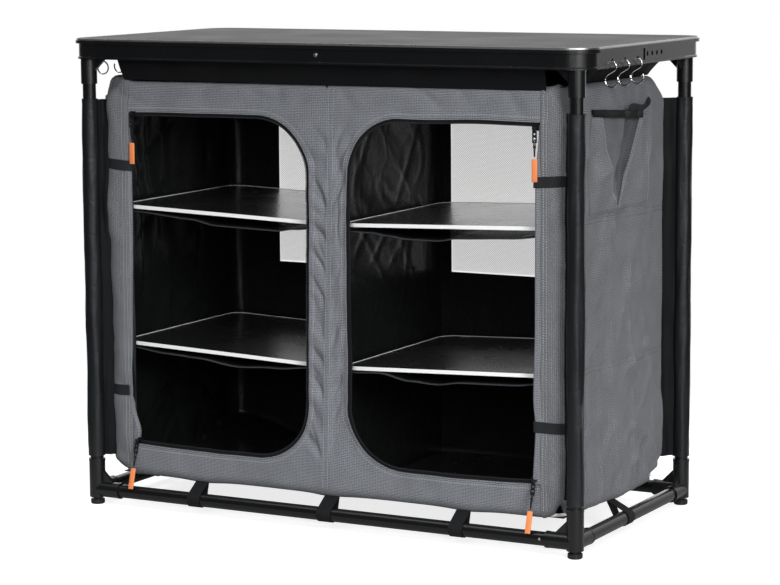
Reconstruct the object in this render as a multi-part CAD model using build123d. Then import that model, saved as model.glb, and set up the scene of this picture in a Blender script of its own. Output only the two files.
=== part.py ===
from build123d import *
import math
import os

# Camping cupboard: a plug-together tube frame with a worktop, and a zipped fabric body
# with six compartments hung inside it. Millimetres, +Z up, front towards -Y,
# origin on the floor under the middle of the worktop.

# Driving dimensions
WIDTH = 980.0
DEPTH = 500.0
HEIGHT = 815.0
LEG_X = 459.0
LEG_Y = 225.0
TUBE_D = 23.0
TUBE_WALL = 1.2
SOCKET_D = 28.0
FIT_GAP = 0.1

# Worktop and its rail
CORNER_R = 45.0
LIP_OUT = 5.5
LIP_HEIGHT = 6.0
BEAD_OUT = 1.8
RAIL_HEIGHT = 35.0
RAIL_WALL = 2.0
CORNER_WALL = 3.0
BOARD_RIM = 2.5
BOARD_CORE = 5.5
LEDGE_DEEP = 14.0
LEDGE_THICK = 2.0
EDGE_STRIP = 1.2
STRIP_SETBACK = 1.5
CORNER_STUB = 15.0
TONGUE = 18.0

# Holes in the two side rails
HOOK_Y = (-146.0, -94.0, -42.0)
HOOK_HOLE_Z = 791.5
HOOK_HOLE_R = 3.0
SLOT_Y = -15.6
SLOT_Z = (786.0, 806.0)
SLOT_WIDE = 8.0
HOLE_Y0 = -2.0
HOLE_PITCH = 20.0
HOLE_COUNT = 4
HOLE_R = 4.0
HOLE_Z = 796.0

# S-hooks
WIRE_R = 1.3
HOOK_TOP_R = 8.0
HOOK_LOW_R = 11.0
HOOK_CENTRES = 22.0

# Sockets, bottom tubes and feet
TOP_SOCKET_Z = 737.0
TOP_BORE_Z = 778.0
LOW_SOCKET_Z = (12.5, 81.0)
LOW_BORE_Z = 42.0
SIDE_SOCKET_D = 27.0
SIDE_SOCKET_LONG = 50.0
SIDE_BORE_FROM = 18.0
TUBE_Z = 26.0
GUSSET = 6.0
GUSSET_LEG = 22.0
FOOT_R = 12.25
FOOT_HIGH = 8.5
NECK_R = 7.0
STEM_R = 4.0
STEM_GAP = 0.06
STEM_TOP = 37.0

# Fabric body
BODY_X = 436.0
BODY_Y = 209.0
BODY_Z = (54.0, 752.0)
CLOTH = 2.4
SIDE_EDGE_R = 20.0
TOP_BACK_R = 40.0
SEAM_X = 390.0
BACK_SEAM_X = 416.0
FRONT_FOLD = 14.0
OPEN_X = (38.0, 388.0)
OPEN_Z = (111.0, 692.0)
OPEN_R = 100.0
WINDOW_X = (20.0, 336.0)
WINDOW_Z = (386.0, 716.0)
SLEEVE_R = 14.25
SLEEVE_IN_R = 12.2
SLEEVE_Z = (86.0, 711.0)
FLAP = 2.0
VALANCE_X = 400.0
VALANCE_Y = (120.0, 141.0)
VALANCE_BEND_Z = 784.0
LINING = 1.6

# Shelves: the height of each board's inner and outer end at mid thickness
SHELF_Z = {"upper": (511.0, 524.0), "lower": (270.0, 285.0)}
SHELF_X = (14.0, 425.0)
SHELF_Y = (-186.0, 190.0)
SHELF_THICK = 5.0
SHELF_CORNER = 28.0
SLING_SAG = 17.0
SLING = 1.6
SLING_BACK_Y = 187.0
FLOOR_BOARD_Y = (-196.0, 192.0)

# Door rolls, ties and loops
ROLL_X = 408.0
ROLL_Y = -196.3
ROLL_HALF = (16.0, 8.0)
TIE_Z = ((592.0, 612.0), (195.0, 215.0))
TIE_THICK = 1.6
LOOP_X = (-254.0, 3.0, 254.0)
LOOP_Y = -22.0
LOOP_WIDE = 25.0
LOOP_THICK = 1.5

# Zips
TAPE_WIDE = 5.0
TAPE_THICK = 1.6
TAPE_Y = -207.8
SLIDER_LONG = 12.0
SLIDER_PARK = 381.0
SLIDER_PLATE = 1.6
SLIDER_GAP = 0.3
SLIDER_HIGH = 9.0
CROWN_R = 1.0
CROWN_OUT = 3.6
EYE_GAP = 0.08
PULL_WIDE = 8.0
PULL_THICK = 1.8
PULL_LONG = 24.0
TAG_FROM = 46.0
TAG_LONG = 40.0
TAG_WIDE = 11.0
TAG_THICK = 3.2
CORD_R = 0.8
LOW_PULL_TILT = 16.5

# Side pocket
POCKET_Y = (-132.0, 108.0)
POCKET_Z = (541.0, 700.0)
POCKET_BULGE = 12.0

# Derived places
RAIL_BOTTOM = HEIGHT - RAIL_HEIGHT
LIP_TOP = HEIGHT - BOARD_RIM
CORE_BOTTOM = LIP_TOP - BOARD_CORE
WEB_X = WIDTH / 2 - LIP_OUT
WEB_Y = DEPTH / 2 - LIP_OUT
CORNER_X = WIDTH / 2 - CORNER_R
CORNER_Y = DEPTH / 2 - CORNER_R
STUB_X = CORNER_X - CORNER_STUB
STUB_Y = CORNER_Y - CORNER_STUB
BORE_R = TUBE_D / 2 + FIT_GAP
SIDES = {"left": -1, "right": 1}
ENDS = {"front": -1, "rear": 1}


def block(x, y, z):
    """A box from its three (low, high) ranges."""
    size = [abs(r[1] - r[0]) for r in (x, y, z)]
    middle = [(r[0] + r[1]) / 2 for r in (x, y, z)]
    return Pos(*middle) * Box(*size)


def upright(radius, x, y, z):
    """A vertical cylinder over a range of heights."""
    return Pos(x, y, (z[0] + z[1]) / 2) * Cylinder(radius, z[1] - z[0])


def bar_x(radius, x, y, z):
    """A cylinder along X over a range of x."""
    return Pos((x[0] + x[1]) / 2, y, z) * Rot(0, 90, 0) * Cylinder(radius, abs(x[1] - x[0]))


def bar_y(radius, x, y, z):
    """A cylinder along Y over a range of y."""
    return Pos(x, (y[0] + y[1]) / 2, z) * Rot(90, 0, 0) * Cylinder(radius, abs(y[1] - y[0]))


def prism_y(points, y):
    """A flat outline in X and Z, drawn along a range of y."""
    wire = Polyline(*[(px, 0, pz) for px, pz in points], close=True)
    face = Pos(0, y[0], 0) * make_face(wire)
    return extrude(face, amount=y[1] - y[0], dir=(0, 1, 0))


def prism_x(points, x):
    """A flat outline in Y and Z, drawn along a range of x."""
    wire = Polyline(*[(0, py, pz) for py, pz in points], close=True)
    face = Pos(x[0], 0, 0) * make_face(wire)
    return extrude(face, amount=x[1] - x[0], dir=(1, 0, 0))


def place(shape, side, end):
    """Mirror a piece drawn at the front right to another corner."""
    if side < 0:
        shape = mirror(shape, about=Plane.YZ)
    if end > 0:
        shape = mirror(shape, about=Plane.XZ)
    return shape


def group(shapes):
    """Separate solids that share one node."""
    return Compound([solid for shape in shapes for solid in shape.solids()])


def rail_outline(wall, ledge):
    """Section of the worktop rail: u is outwards from the web's face, then height."""
    points = [
        (-wall, RAIL_BOTTOM),
        (BEAD_OUT, RAIL_BOTTOM),
        (BEAD_OUT, RAIL_BOTTOM + 2.6),
        (0, RAIL_BOTTOM + 4.4),
        (0, LIP_TOP - LIP_HEIGHT - 1),
        (1, LIP_TOP - LIP_HEIGHT),
        (LIP_OUT, LIP_TOP - LIP_HEIGHT),
        (LIP_OUT, LIP_TOP - 1),
        (LIP_OUT - 1, LIP_TOP),
        (-wall, LIP_TOP),
    ]
    if ledge:
        points += [
            (-wall, CORE_BOTTOM),
            (-LEDGE_DEEP, CORE_BOTTOM),
            (-LEDGE_DEEP, CORE_BOTTOM - LEDGE_THICK),
            (-wall, CORE_BOTTOM - LEDGE_THICK),
        ]
    return points


def long_rail():
    """Front rail, extruded along X."""
    outline = [(-WEB_Y - u, z) for u, z in rail_outline(RAIL_WALL, True)]
    rail = prism_x(outline, (-STUB_X, STUB_X))
    return rail - bar_y(2.1, 0, (-WEB_Y - 3, -WEB_Y + 4), HOLE_Z)


def short_rail():
    """Right rail, with the hook holes, the slot and the row of accessory holes."""
    outline = [(WEB_X + u, z) for u, z in rail_outline(RAIL_WALL, True)]
    rail = prism_y(outline, (-STUB_Y, STUB_Y))
    through = (WEB_X - 6, WEB_X + 6)
    for y in HOOK_Y:
        rail -= bar_x(HOOK_HOLE_R, through, y, HOOK_HOLE_Z)
    for n in range(HOLE_COUNT):
        rail -= bar_x(HOLE_R, through, HOLE_Y0 + n * HOLE_PITCH, HOLE_Z)
    slot = block(through, (SLOT_Y - SLOT_WIDE / 2, SLOT_Y + SLOT_WIDE / 2), (SLOT_Z[0], CORE_BOTTOM - LEDGE_THICK))
    return rail - slot


def top_corner():
    """Moulded corner at the front right: rail bend, leg socket, deck and gussets."""
    section = [(CORNER_X + CORNER_R - LIP_OUT + u, z) for u, z in rail_outline(CORNER_WALL, False)]
    wire = Polyline(*[(px, -CORNER_Y, pz) for px, pz in section], close=True)
    pivot = Axis((CORNER_X, -CORNER_Y, 0), (0, 0, 1))
    bend = revolve(make_face(wire), axis=pivot, revolution_arc=-90)
    along_x = prism_x([(-WEB_Y - u, z) for u, z in rail_outline(CORNER_WALL, False)], (STUB_X, CORNER_X))
    along_y = prism_y([(WEB_X + u, z) for u, z in rail_outline(CORNER_WALL, False)], (-CORNER_Y, -STUB_Y))
    corner = bend + along_x + along_y
    deck_x = (STUB_X, WEB_X - 1)
    deck_y = (-WEB_Y + 1, -STUB_Y)
    deck_z = (CORE_BOTTOM - CORNER_WALL, CORE_BOTTOM)
    deck = block(deck_x, deck_y, deck_z)
    outer_edge = deck.edges().filter_by(Axis.Z).sort_by(lambda e: e.center().X - e.center().Y)[-1]
    corner += fillet(outer_edge, CORNER_R - LIP_OUT - 1)
    corner += upright(SOCKET_D / 2, LEG_X, -LEG_Y, (TOP_SOCKET_Z, CORE_BOTTOM))
    inner = LEG_X - SOCKET_D / 2 + 2
    web = [
        (inner, RAIL_BOTTOM - GUSSET_LEG),
        (inner - GUSSET_LEG, RAIL_BOTTOM),
        (inner - GUSSET_LEG, CORE_BOTTOM - 1),
        (inner, CORE_BOTTOM - 1),
    ]
    corner += prism_y(web, (-LEG_Y - GUSSET / 2, -LEG_Y + GUSSET / 2))
    shift = LEG_Y - LEG_X
    corner += prism_x([(-(a + shift), z) for a, z in web], (LEG_X - GUSSET / 2, LEG_X + GUSSET / 2))
    tongue_z = (RAIL_BOTTOM + 5, CORE_BOTTOM - LEDGE_THICK - 1)
    inside = RAIL_WALL + 0.2
    corner += block((STUB_X - TONGUE, STUB_X + 2), (-WEB_Y + inside, -WEB_Y + inside + 3), tongue_z)
    corner += block((WEB_X - inside - 3, WEB_X - inside), (-STUB_Y - 2, -STUB_Y + TONGUE), tongue_z)
    return corner - upright(BORE_R, LEG_X, -LEG_Y, (TOP_SOCKET_Z - 1, TOP_BORE_Z))


def bottom_corner():
    """Moulded three-way socket at the front right foot."""
    r = SIDE_SOCKET_D / 2
    end_x = LEG_X - SIDE_SOCKET_LONG
    end_y = -LEG_Y + SIDE_SOCKET_LONG
    corner = upright(SOCKET_D / 2, LEG_X, -LEG_Y, LOW_SOCKET_Z)
    corner += bar_x(r, (end_x, LEG_X), -LEG_Y, TUBE_Z)
    corner += bar_y(r, LEG_X, (-LEG_Y, end_y), TUBE_Z)
    collar = 0.5
    corner += upright(SOCKET_D / 2 + collar, LEG_X, -LEG_Y, (LOW_SOCKET_Z[1] - 5, LOW_SOCKET_Z[1]))
    corner += bar_x(r + collar, (end_x, end_x + 5), -LEG_Y, TUBE_Z)
    corner += bar_y(r + collar, LEG_X, (end_y - 5, end_y), TUBE_Z)
    inner = LEG_X - SOCKET_D / 2 + 2
    top = TUBE_Z + r
    web = [
        (inner, top + GUSSET_LEG),
        (inner - GUSSET_LEG, top),
        (inner - GUSSET_LEG, TUBE_Z + 9),
        (inner, TUBE_Z + 9),
    ]
    corner += prism_y(web, (-LEG_Y - GUSSET / 2, -LEG_Y + GUSSET / 2))
    shift = LEG_Y - LEG_X
    corner += prism_x([(-(a + shift), z) for a, z in web], (LEG_X - GUSSET / 2, LEG_X + GUSSET / 2))
    corner -= upright(BORE_R, LEG_X, -LEG_Y, (LOW_BORE_Z, LOW_SOCKET_Z[1] + 1))
    corner -= bar_x(BORE_R, (end_x - 1, LEG_X - SIDE_BORE_FROM), -LEG_Y, TUBE_Z)
    corner -= bar_y(BORE_R, LEG_X, (-LEG_Y + SIDE_BORE_FROM, end_y + 1), TUBE_Z)
    return corner - upright(STEM_R + STEM_GAP, LEG_X, -LEG_Y, (LOW_SOCKET_Z[0] - 1, STEM_TOP + 2))


def tube_bore(solid, bore):
    """A tube from its outside and the bore cut from it."""
    return solid - bore


def leg_tube():
    z = (LOW_BORE_Z + 0.5, TOP_BORE_Z - 1)
    return tube_bore(upright(TUBE_D / 2, LEG_X, -LEG_Y, z), upright(TUBE_D / 2 - TUBE_WALL, LEG_X, -LEG_Y, z))


def long_tube():
    x = (-LEG_X + SIDE_BORE_FROM + 0.5, LEG_X - SIDE_BORE_FROM - 0.5)
    return tube_bore(bar_x(TUBE_D / 2, x, -LEG_Y, TUBE_Z), bar_x(TUBE_D / 2 - TUBE_WALL, x, -LEG_Y, TUBE_Z))


def short_tube():
    y = (-LEG_Y + SIDE_BORE_FROM + 0.5, LEG_Y - SIDE_BORE_FROM - 0.5)
    return tube_bore(bar_y(TUBE_D / 2, LEG_X, y, TUBE_Z), bar_y(TUBE_D / 2 - TUBE_WALL, LEG_X, y, TUBE_Z))


def foot():
    """Screw-in levelling foot: fluted pad, neck and stem."""
    profile = [
        (0, 0),
        (FOOT_R - 1.5, 0),
        (FOOT_R, 1.5),
        (FOOT_R, FOOT_HIGH - 1),
        (FOOT_R - 1, FOOT_HIGH),
        (NECK_R, FOOT_HIGH),
        (NECK_R, LOW_SOCKET_Z[0]),
        (STEM_R, LOW_SOCKET_Z[0]),
        (STEM_R, STEM_TOP - 1),
        (STEM_R - 1, STEM_TOP),
        (0, STEM_TOP),
    ]
    wire = Polyline(*[(a, 0, z) for a, z in profile], close=True)
    pad = revolve(make_face(wire), axis=Axis.Z)
    flutes = 16
    for n in range(flutes):
        angle = 2 * math.pi * n / flutes
        reach = FOOT_R + 0.6
        pad -= upright(1.2, reach * math.cos(angle), reach * math.sin(angle), (2.5, FOOT_HIGH + 1))
    return Pos(LEG_X, -LEG_Y, 0) * pad


def rounded_plate(half_x, half_y, radius, z):
    """A worktop-shaped plate with round corners."""
    sketch = RectangleRounded(2 * half_x, 2 * half_y, radius)
    return extrude(Pos(0, 0, z[0]) * sketch, amount=z[1] - z[0])


def worktop():
    """The board with its thinner rim, and the bright strip round its edge."""
    out_x = WIDTH / 2 - STRIP_SETBACK
    out_y = DEPTH / 2 - STRIP_SETBACK
    out_r = CORNER_R - STRIP_SETBACK
    rim_z = (LIP_TOP, HEIGHT)
    rim = rounded_plate(out_x - EDGE_STRIP, out_y - EDGE_STRIP, out_r - EDGE_STRIP, rim_z)
    gap = CORNER_WALL + 0.4
    core_r = CORNER_R - LIP_OUT - gap
    board = rim + rounded_plate(WEB_X - gap, WEB_Y - gap, core_r, (CORE_BOTTOM, LIP_TOP))
    strip = rounded_plate(out_x, out_y, out_r, rim_z) - rim
    return board, strip


def crossbar():
    """Channel under the middle of the worktop, from the front rail to the rear rail."""
    end = WEB_Y - RAIL_WALL - 0.2
    z = (HOLE_Z - 8, CORE_BOTTOM - LEDGE_THICK)
    bar = block((-12, 12), (-end, end), z)
    inner = block((-10, 10), (-end + 3, end - 3), (z[0] - 1, z[1] - 2))
    return bar - inner


def rivet(length):
    """A domed rivet, head outwards along -Y from the face at y = 0."""
    head = Pos(0, 0, 0) * Rot(90, 0, 0) * Cone(4.0, 2.4, 2.0, align=(Align.CENTER, Align.CENTER, Align.MIN))
    shank = Rot(-90, 0, 0) * Cylinder(2.0, length, align=(Align.CENTER, Align.CENTER, Align.MIN))
    return head + shank


def rivets():
    """Crossbar rivets in the long rails and a tube rivet beside each right-hand socket."""
    made = []
    for end in ENDS.values():
        top = Pos(0, -WEB_Y, HOLE_Z) * rivet(RAIL_WALL)
        button = Pos(400.7, -LEG_Y - TUBE_D / 2 + 0.1, TUBE_Z + 1) * scale(rivet(0.6), 0.6)
        pair = top + button
        made.append(pair if end < 0 else Rot(0, 0, 180) * pair)
    return group(made)


def s_hook(y):
    """Wire S-hook whose upper loop passes through a hole in the right rail."""
    axis_x = WEB_X - RAIL_WALL / 2
    top_z = HOOK_HOLE_Z - (HOOK_HOLE_R - WIRE_R - 0.2)
    upper = Vector(axis_x, y, top_z - HOOK_TOP_R)
    lower = upper - Vector(0, 0, HOOK_CENTRES)
    meet = math.degrees(math.acos((HOOK_TOP_R + HOOK_LOW_R) / HOOK_CENTRES))
    flat = Plane(origin=upper, x_dir=(1, 0, 0), z_dir=(0, -1, 0))
    low_flat = Plane(origin=lower, x_dir=(1, 0, 0), z_dir=(0, -1, 0))
    tail = 30.0
    first = flat.from_local_coords(Edge.make_circle(HOOK_TOP_R, start_angle=meet - 90, end_angle=180 + tail))
    second = low_flat.from_local_coords(Edge.make_circle(HOOK_LOW_R, start_angle=90 + meet, end_angle=385))
    slope = Edge.make_line(first @ 0, second @ 0)
    path = Wire([first, slope, second])
    start = path @ 0
    ring = Plane(origin=start, z_dir=path % 0) * Circle(WIRE_R)
    return sweep(ring, path=path)


def body_blank(inset):
    """The fabric body as one rounded block, smaller all round by the inset."""
    x = BODY_X - inset
    y = BODY_Y - inset
    z = (BODY_Z[0] + inset, BODY_Z[1] - inset)
    plan = extrude(Pos(0, 0, z[0]) * RectangleRounded(2 * x, 2 * y, SIDE_EDGE_R - inset), amount=z[1] - z[0])
    cut_r = TOP_BACK_R - inset
    corner = block((-x - 1, x + 1), (y - cut_r, y + 1), (z[1] - cut_r, z[1] + 1))
    corner -= bar_x(cut_r, (-x - 2, x + 2), y - cut_r, z[1] - cut_r)
    return plan - corner


def opening_cut(inset, y):
    """The D-shaped door opening of the right column, square at the outer side."""
    outer = SEAM_X + 1
    hole = block((OPEN_X[0] + inset, outer), y, (OPEN_Z[0] + inset, OPEN_Z[1] - inset))
    inner_edges = hole.edges().filter_by(Axis.Y).sort_by(Axis.X)[:2]
    return fillet(inner_edges, OPEN_R - inset)


def body_panels():
    """Front halves, sides, back, roof and floor, cut from one shell along the seams."""
    shell = body_blank(0) - body_blank(CLOTH)
    big = 600
    fold = -BODY_Y + FRONT_FOLD
    back_fold = BODY_Y - TOP_BACK_R
    front = shell & block((0, SEAM_X), (-big, fold), (0, 900))
    front -= opening_cut(0, (-BODY_Y - 5, fold + 5))
    side = shell & block((BACK_SEAM_X, big), (-big, big), (0, 900))
    side += shell & block((SEAM_X, BACK_SEAM_X), (-big, fold), (0, 900))
    back = shell & block((-BACK_SEAM_X, BACK_SEAM_X), (back_fold, big), (0, 900))
    window = block(WINDOW_X, (BODY_Y - CLOTH - 1, BODY_Y + 1), WINDOW_Z)
    back -= window
    back -= mirror(window, about=Plane.YZ)
    middle = block((-BACK_SEAM_X, BACK_SEAM_X), (fold, back_fold), (0, 900))
    roof = shell & middle & block((-big, big), (-big, big), (500, 900))
    floor = shell & middle & block((-big, big), (-big, big), (0, 500))
    return front, side, back, roof, floor


def mesh_windows():
    y = BODY_Y - CLOTH / 2
    pane = block(WINDOW_X, (y - 0.6, y + 0.6), WINDOW_Z)
    return group([pane, mirror(pane, about=Plane.YZ)])


def partition():
    z = (BODY_Z[0] + CLOTH, BODY_Z[1] - CLOTH)
    wall = block((-CLOTH / 2, CLOTH / 2), (-BODY_Y + CLOTH, BODY_Y - CLOTH), z)
    return wall & body_blank(CLOTH)


def flap_section(points):
    """A thin sheet's section: the outer line of points and the same line set inwards."""
    return points + [(a - LINING, z) for a, z in reversed(points)]


def valance():
    """The four flaps that hang the body from inside the rails, slit for the crossbar."""
    low_z = BODY_Z[1]
    top_z = CORE_BOTTOM - LEDGE_THICK
    hang_y = WEB_Y - LEDGE_DEEP + 2
    hang_x = WEB_X - LEDGE_DEEP + 2
    slit = block((-14, 14), (-300, 300), (HOLE_Z - 10, top_z + 1))
    front = flap_section([(BODY_Y, low_z), (hang_y - 2, VALANCE_BEND_Z), (hang_y, top_z)])
    rear = flap_section([(BODY_Y - TOP_BACK_R, low_z), (hang_y - 2, VALANCE_BEND_Z), (hang_y, top_z)])
    right = flap_section([(BODY_X - 8, low_z), (hang_x - 2, VALANCE_BEND_Z), (hang_x, top_z)])
    front = prism_x([(-a, z) for a, z in front], (-VALANCE_X, VALANCE_X)) - slit
    rear = prism_x(rear, (-VALANCE_X, VALANCE_X)) - slit
    right = prism_y(right, (-VALANCE_Y[1], VALANCE_Y[0]))
    return group([front, rear, right, mirror(right, about=Plane.YZ)])


def leg_sleeve():
    """Loose fabric sleeve round the front right leg, with its flap to the body's corner."""
    sleeve = upright(SLEEVE_R, LEG_X, -LEG_Y, SLEEVE_Z)
    corner = Vector(BODY_X - SIDE_EDGE_R, -BODY_Y + SIDE_EDGE_R, 0)
    leg = Vector(LEG_X, -LEG_Y, 0)
    way = (corner - leg).normalized()
    far = (corner - leg).length - SIDE_EDGE_R
    near = SLEEVE_IN_R + 0.5
    high = SLEEVE_Z[1] - SLEEVE_Z[0]
    flap = Box(far - near, FLAP, high, align=(Align.MIN, Align.CENTER, Align.MIN))
    turn = math.degrees(math.atan2(way.Y, way.X))
    start = leg + way * near
    sleeve += Pos(start.X, start.Y, SLEEVE_Z[0]) * Rot(0, 0, turn) * flap
    return sleeve - upright(SLEEVE_IN_R, LEG_X, -LEG_Y, (SLEEVE_Z[0] - 1, SLEEVE_Z[1] + 1))


def side_pocket():
    """Pocket on the right panel: a leaning front sheet and two gussets."""
    sheet = 1.6
    face = BODY_X
    low, top = POCKET_Z
    lean = [
        (face, low),
        (face + sheet, low),
        (face + POCKET_BULGE, top),
        (face + POCKET_BULGE - sheet, top),
    ]
    front = prism_y(lean, POCKET_Y)
    wedge = [(face, low + 22), (face + POCKET_BULGE - sheet, top), (face, top)]
    first = prism_y(wedge, (POCKET_Y[0], POCKET_Y[0] + sheet))
    last = prism_y(wedge, (POCKET_Y[1] - sheet, POCKET_Y[1]))
    return group([front, first, last])


def shelf_board(level):
    """A round-cornered board in the right column, sloping down to the partition."""
    inner, outer = SHELF_Z[level]
    run = SHELF_X[1] - SHELF_X[0]
    slope = math.degrees(math.atan2(outer - inner, run))
    long = run / math.cos(math.radians(slope))
    deep = SHELF_Y[1] - SHELF_Y[0]
    plate = extrude(RectangleRounded(long, deep, SHELF_CORNER), amount=SHELF_THICK / 2, both=True)
    middle = Pos((SHELF_X[0] + SHELF_X[1]) / 2, (SHELF_Y[0] + SHELF_Y[1]) / 2, (inner + outer) / 2)
    return middle * Rot(0, -slope, 0) * plate


def shelf_sling(level):
    """The sagging fabric under a shelf board, from the partition to the side panel."""
    inner, outer = SHELF_Z[level]
    x = (CLOTH / 2, BODY_X - CLOTH)
    slope = (outer - inner) / (SHELF_X[1] - SHELF_X[0])
    steep = 4 * SLING_SAG / (x[1] - x[0])
    under = SHELF_THICK / 2 + 0.3
    gaps = (SHELF_X[0] - x[0], x[1] - SHELF_X[1])
    ends = [(x[n], inner + slope * (x[n] - SHELF_X[0]) - under + steep * gaps[n]) for n in (0, 1)]
    middle = ((x[0] + x[1]) / 2, (ends[0][1] + ends[1][1]) / 2 - SLING_SAG)
    top = ThreePointArc((ends[0][0], 0, ends[0][1]), (middle[0], 0, middle[1]), (ends[1][0], 0, ends[1][1]))
    down = Pos(0, 0, -SLING) * top
    sides = [Line(top @ 0, down @ 0), Line(top @ 1, down @ 1)]
    face = make_face(Curve() + [top, down] + sides)
    y = (SHELF_Y[0], SLING_BACK_Y)
    return extrude(Pos(0, y[0], 0) * face, amount=y[1] - y[0], dir=(0, 1, 0))


def floor_board():
    x = SHELF_X
    y = FLOOR_BOARD_Y
    z = BODY_Z[0] + CLOTH
    sketch = RectangleRounded(x[1] - x[0], y[1] - y[0], SHELF_CORNER)
    return extrude(Pos((x[0] + x[1]) / 2, (y[0] + y[1]) / 2, z) * sketch, amount=SHELF_THICK)


def door_roll():
    """The rolled-up door, held upright behind the outer strip of the front."""
    z = (OPEN_Z[0] + 6, OPEN_Z[1] - 6)
    sketch = Pos(ROLL_X, ROLL_Y, z[0]) * Ellipse(*ROLL_HALF)
    return extrude(sketch, amount=z[1] - z[0])


def tie_strap(z):
    """Hook-and-loop strap over the outer strip, round its edge and behind the door roll."""
    face = -BODY_Y
    back = ROLL_Y + ROLL_HALF[1]
    inner_x = OPEN_X[1] - 1
    outer_x = BODY_X - 8
    outside = block((inner_x - TIE_THICK, outer_x), (face - TIE_THICK, back + TIE_THICK), z)
    inside = block((inner_x, outer_x + 1), (face, back), (z[0] - 1, z[1] + 1))
    return outside - inside


def belt(tube_at, edge_at):
    """A webbing loop round a bottom tube and a point on the body's lower edge."""
    outer = [
        Pos(*tube_at) * Circle(TUBE_D / 2 + 0.2 + LOOP_THICK),
        Pos(*edge_at) * Circle(0.7 + LOOP_THICK),
    ]
    inner = [Pos(*tube_at) * Circle(TUBE_D / 2 + 0.2), Pos(*edge_at) * Circle(0.7)]
    hulls = [make_hull([e for c in ring for e in c.edges()]) for ring in (outer, inner)]
    return hulls[0] - hulls[1]


def tube_loops():
    """Webbing loops that tie the body down to the four bottom tubes."""
    made = []
    drop = 0.7 + LOOP_THICK
    edge_z = BODY_Z[0] - drop
    across = belt((LEG_Y, TUBE_Z), (BODY_Y - 3, edge_z))
    for x in LOOP_X:
        plane = Plane(origin=(x - LOOP_WIDE / 2, 0, 0), x_dir=(0, 1, 0), z_dir=(1, 0, 0))
        loop = extrude(plane * across, amount=LOOP_WIDE)
        made += [loop, mirror(loop, about=Plane.XZ)]
    sideways = belt((LEG_X, TUBE_Z), (BODY_X - 3, edge_z))
    plane = Plane(origin=(0, LOOP_Y + LOOP_WIDE / 2, 0), x_dir=(1, 0, 0), z_dir=(0, -1, 0))
    loop = extrude(plane * sideways, amount=LOOP_WIDE)
    made += [loop, mirror(loop, about=Plane.YZ)]
    return group(made)


def zip_tape():
    """Zip tape along the top, the inner side and the bottom of the right opening."""
    y = (TAPE_Y - TAPE_THICK / 2, TAPE_Y + TAPE_THICK / 2)
    band = opening_cut(0, y) - opening_cut(TAPE_WIDE, (y[0] - 1, y[1] + 1))
    return band & block((0, OPEN_X[1]), (-300, 0), (0, 900))


def slider(low):
    """Slider on the straight run of tape: two plates, the bridge between and the crown bar."""
    inner_edge = OPEN_Z[0] + TAPE_WIDE if low else OPEN_Z[1] - TAPE_WIDE
    out = 1 if low else -1
    x = (SLIDER_PARK - SLIDER_LONG / 2, SLIDER_PARK + SLIDER_LONG / 2)
    half = TAPE_THICK / 2 + SLIDER_GAP
    grip = TAPE_WIDE - 1.5
    z = sorted((inner_edge - out * grip, inner_edge + out * (SLIDER_HIGH - grip)))
    body = block(x, (TAPE_Y - half - SLIDER_PLATE, TAPE_Y + half + SLIDER_PLATE), z)
    gap_z = sorted((inner_edge - out * (grip + 1), inner_edge + out * SLIDER_GAP))
    body -= block((x[0] - 1, x[1] + 1), (TAPE_Y - half, TAPE_Y + half), gap_z)
    face = TAPE_Y - half - SLIDER_PLATE
    crown = crown_place(low)
    for side in (-1, 1):
        ear_x = SLIDER_PARK + side * (PULL_WIDE / 2 - 0.6)
        ear = block((ear_x - 0.8, ear_x + 0.8), (crown[1] - 1.2, face + 0.5), (crown[2] - 1.6, crown[2] + 1.6))
        body += ear
    return body + bar_x(CROWN_R, (SLIDER_PARK - PULL_WIDE / 2, SLIDER_PARK + PULL_WIDE / 2), crown[1], crown[2])


def crown_place(low):
    """Centre of the crown bar that the pull swings on."""
    inner_edge = OPEN_Z[0] + TAPE_WIDE if low else OPEN_Z[1] - TAPE_WIDE
    out = 1 if low else -1
    face = TAPE_Y - TAPE_THICK / 2 - SLIDER_GAP - SLIDER_PLATE
    return (SLIDER_PARK, face - CROWN_OUT, inner_edge + out * 1.0)


def pull_frame(low):
    """The pull's own frame: origin on the crown bar, hanging along its -Z."""
    tilt = LOW_PULL_TILT if low else 0.0
    return Pos(*crown_place(low)) * Rot(-tilt, 0, 0)


def zip_pull(low):
    """Flat puller with an eye round the crown bar, and the moulded tag on its cord."""
    eye_r = CROWN_R + EYE_GAP
    tongue_w = PULL_WIDE - 4.0
    eye = bar_x(eye_r + 1.0, (-tongue_w / 2, tongue_w / 2), 0, 0)
    neck = block((-tongue_w / 2, tongue_w / 2), (-PULL_THICK / 2, PULL_THICK / 2), (-5, 0))
    plate = block((-PULL_WIDE / 2, PULL_WIDE / 2), (-PULL_THICK / 2, PULL_THICK / 2), (-PULL_LONG, -4))
    plate = fillet(plate.edges().filter_by(Axis.Y), 1.5)
    slot = block((-PULL_WIDE / 2 + 2, PULL_WIDE / 2 - 2), (-2, 2), (-PULL_LONG + 2.5, -PULL_LONG + 9))
    puller = eye + neck + plate
    puller -= slot
    puller -= bar_x(eye_r, (-PULL_WIDE, PULL_WIDE), 0, 0)
    tag = block((-TAG_WIDE / 2, TAG_WIDE / 2), (-TAG_THICK / 2, TAG_THICK / 2), (-TAG_FROM - TAG_LONG, -TAG_FROM))
    tag = fillet(tag.edges().filter_by(Axis.Y), 1.2)
    return pull_frame(low) * group([puller, tag])


CORD_ROUTE = [
    (0.9, -TAG_FROM),
    (1.2, -TAG_FROM + 6),
    (2.6, -TAG_FROM + 14),
    (2.7, -PULL_LONG - 1),
    (2.5, -PULL_LONG + 5.4),
    (-2.5, -PULL_LONG + 5.4),
    (-2.7, -PULL_LONG - 1),
    (-2.6, -TAG_FROM + 14),
    (-1.2, -TAG_FROM + 6),
    (-0.9, -TAG_FROM),
]


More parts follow.
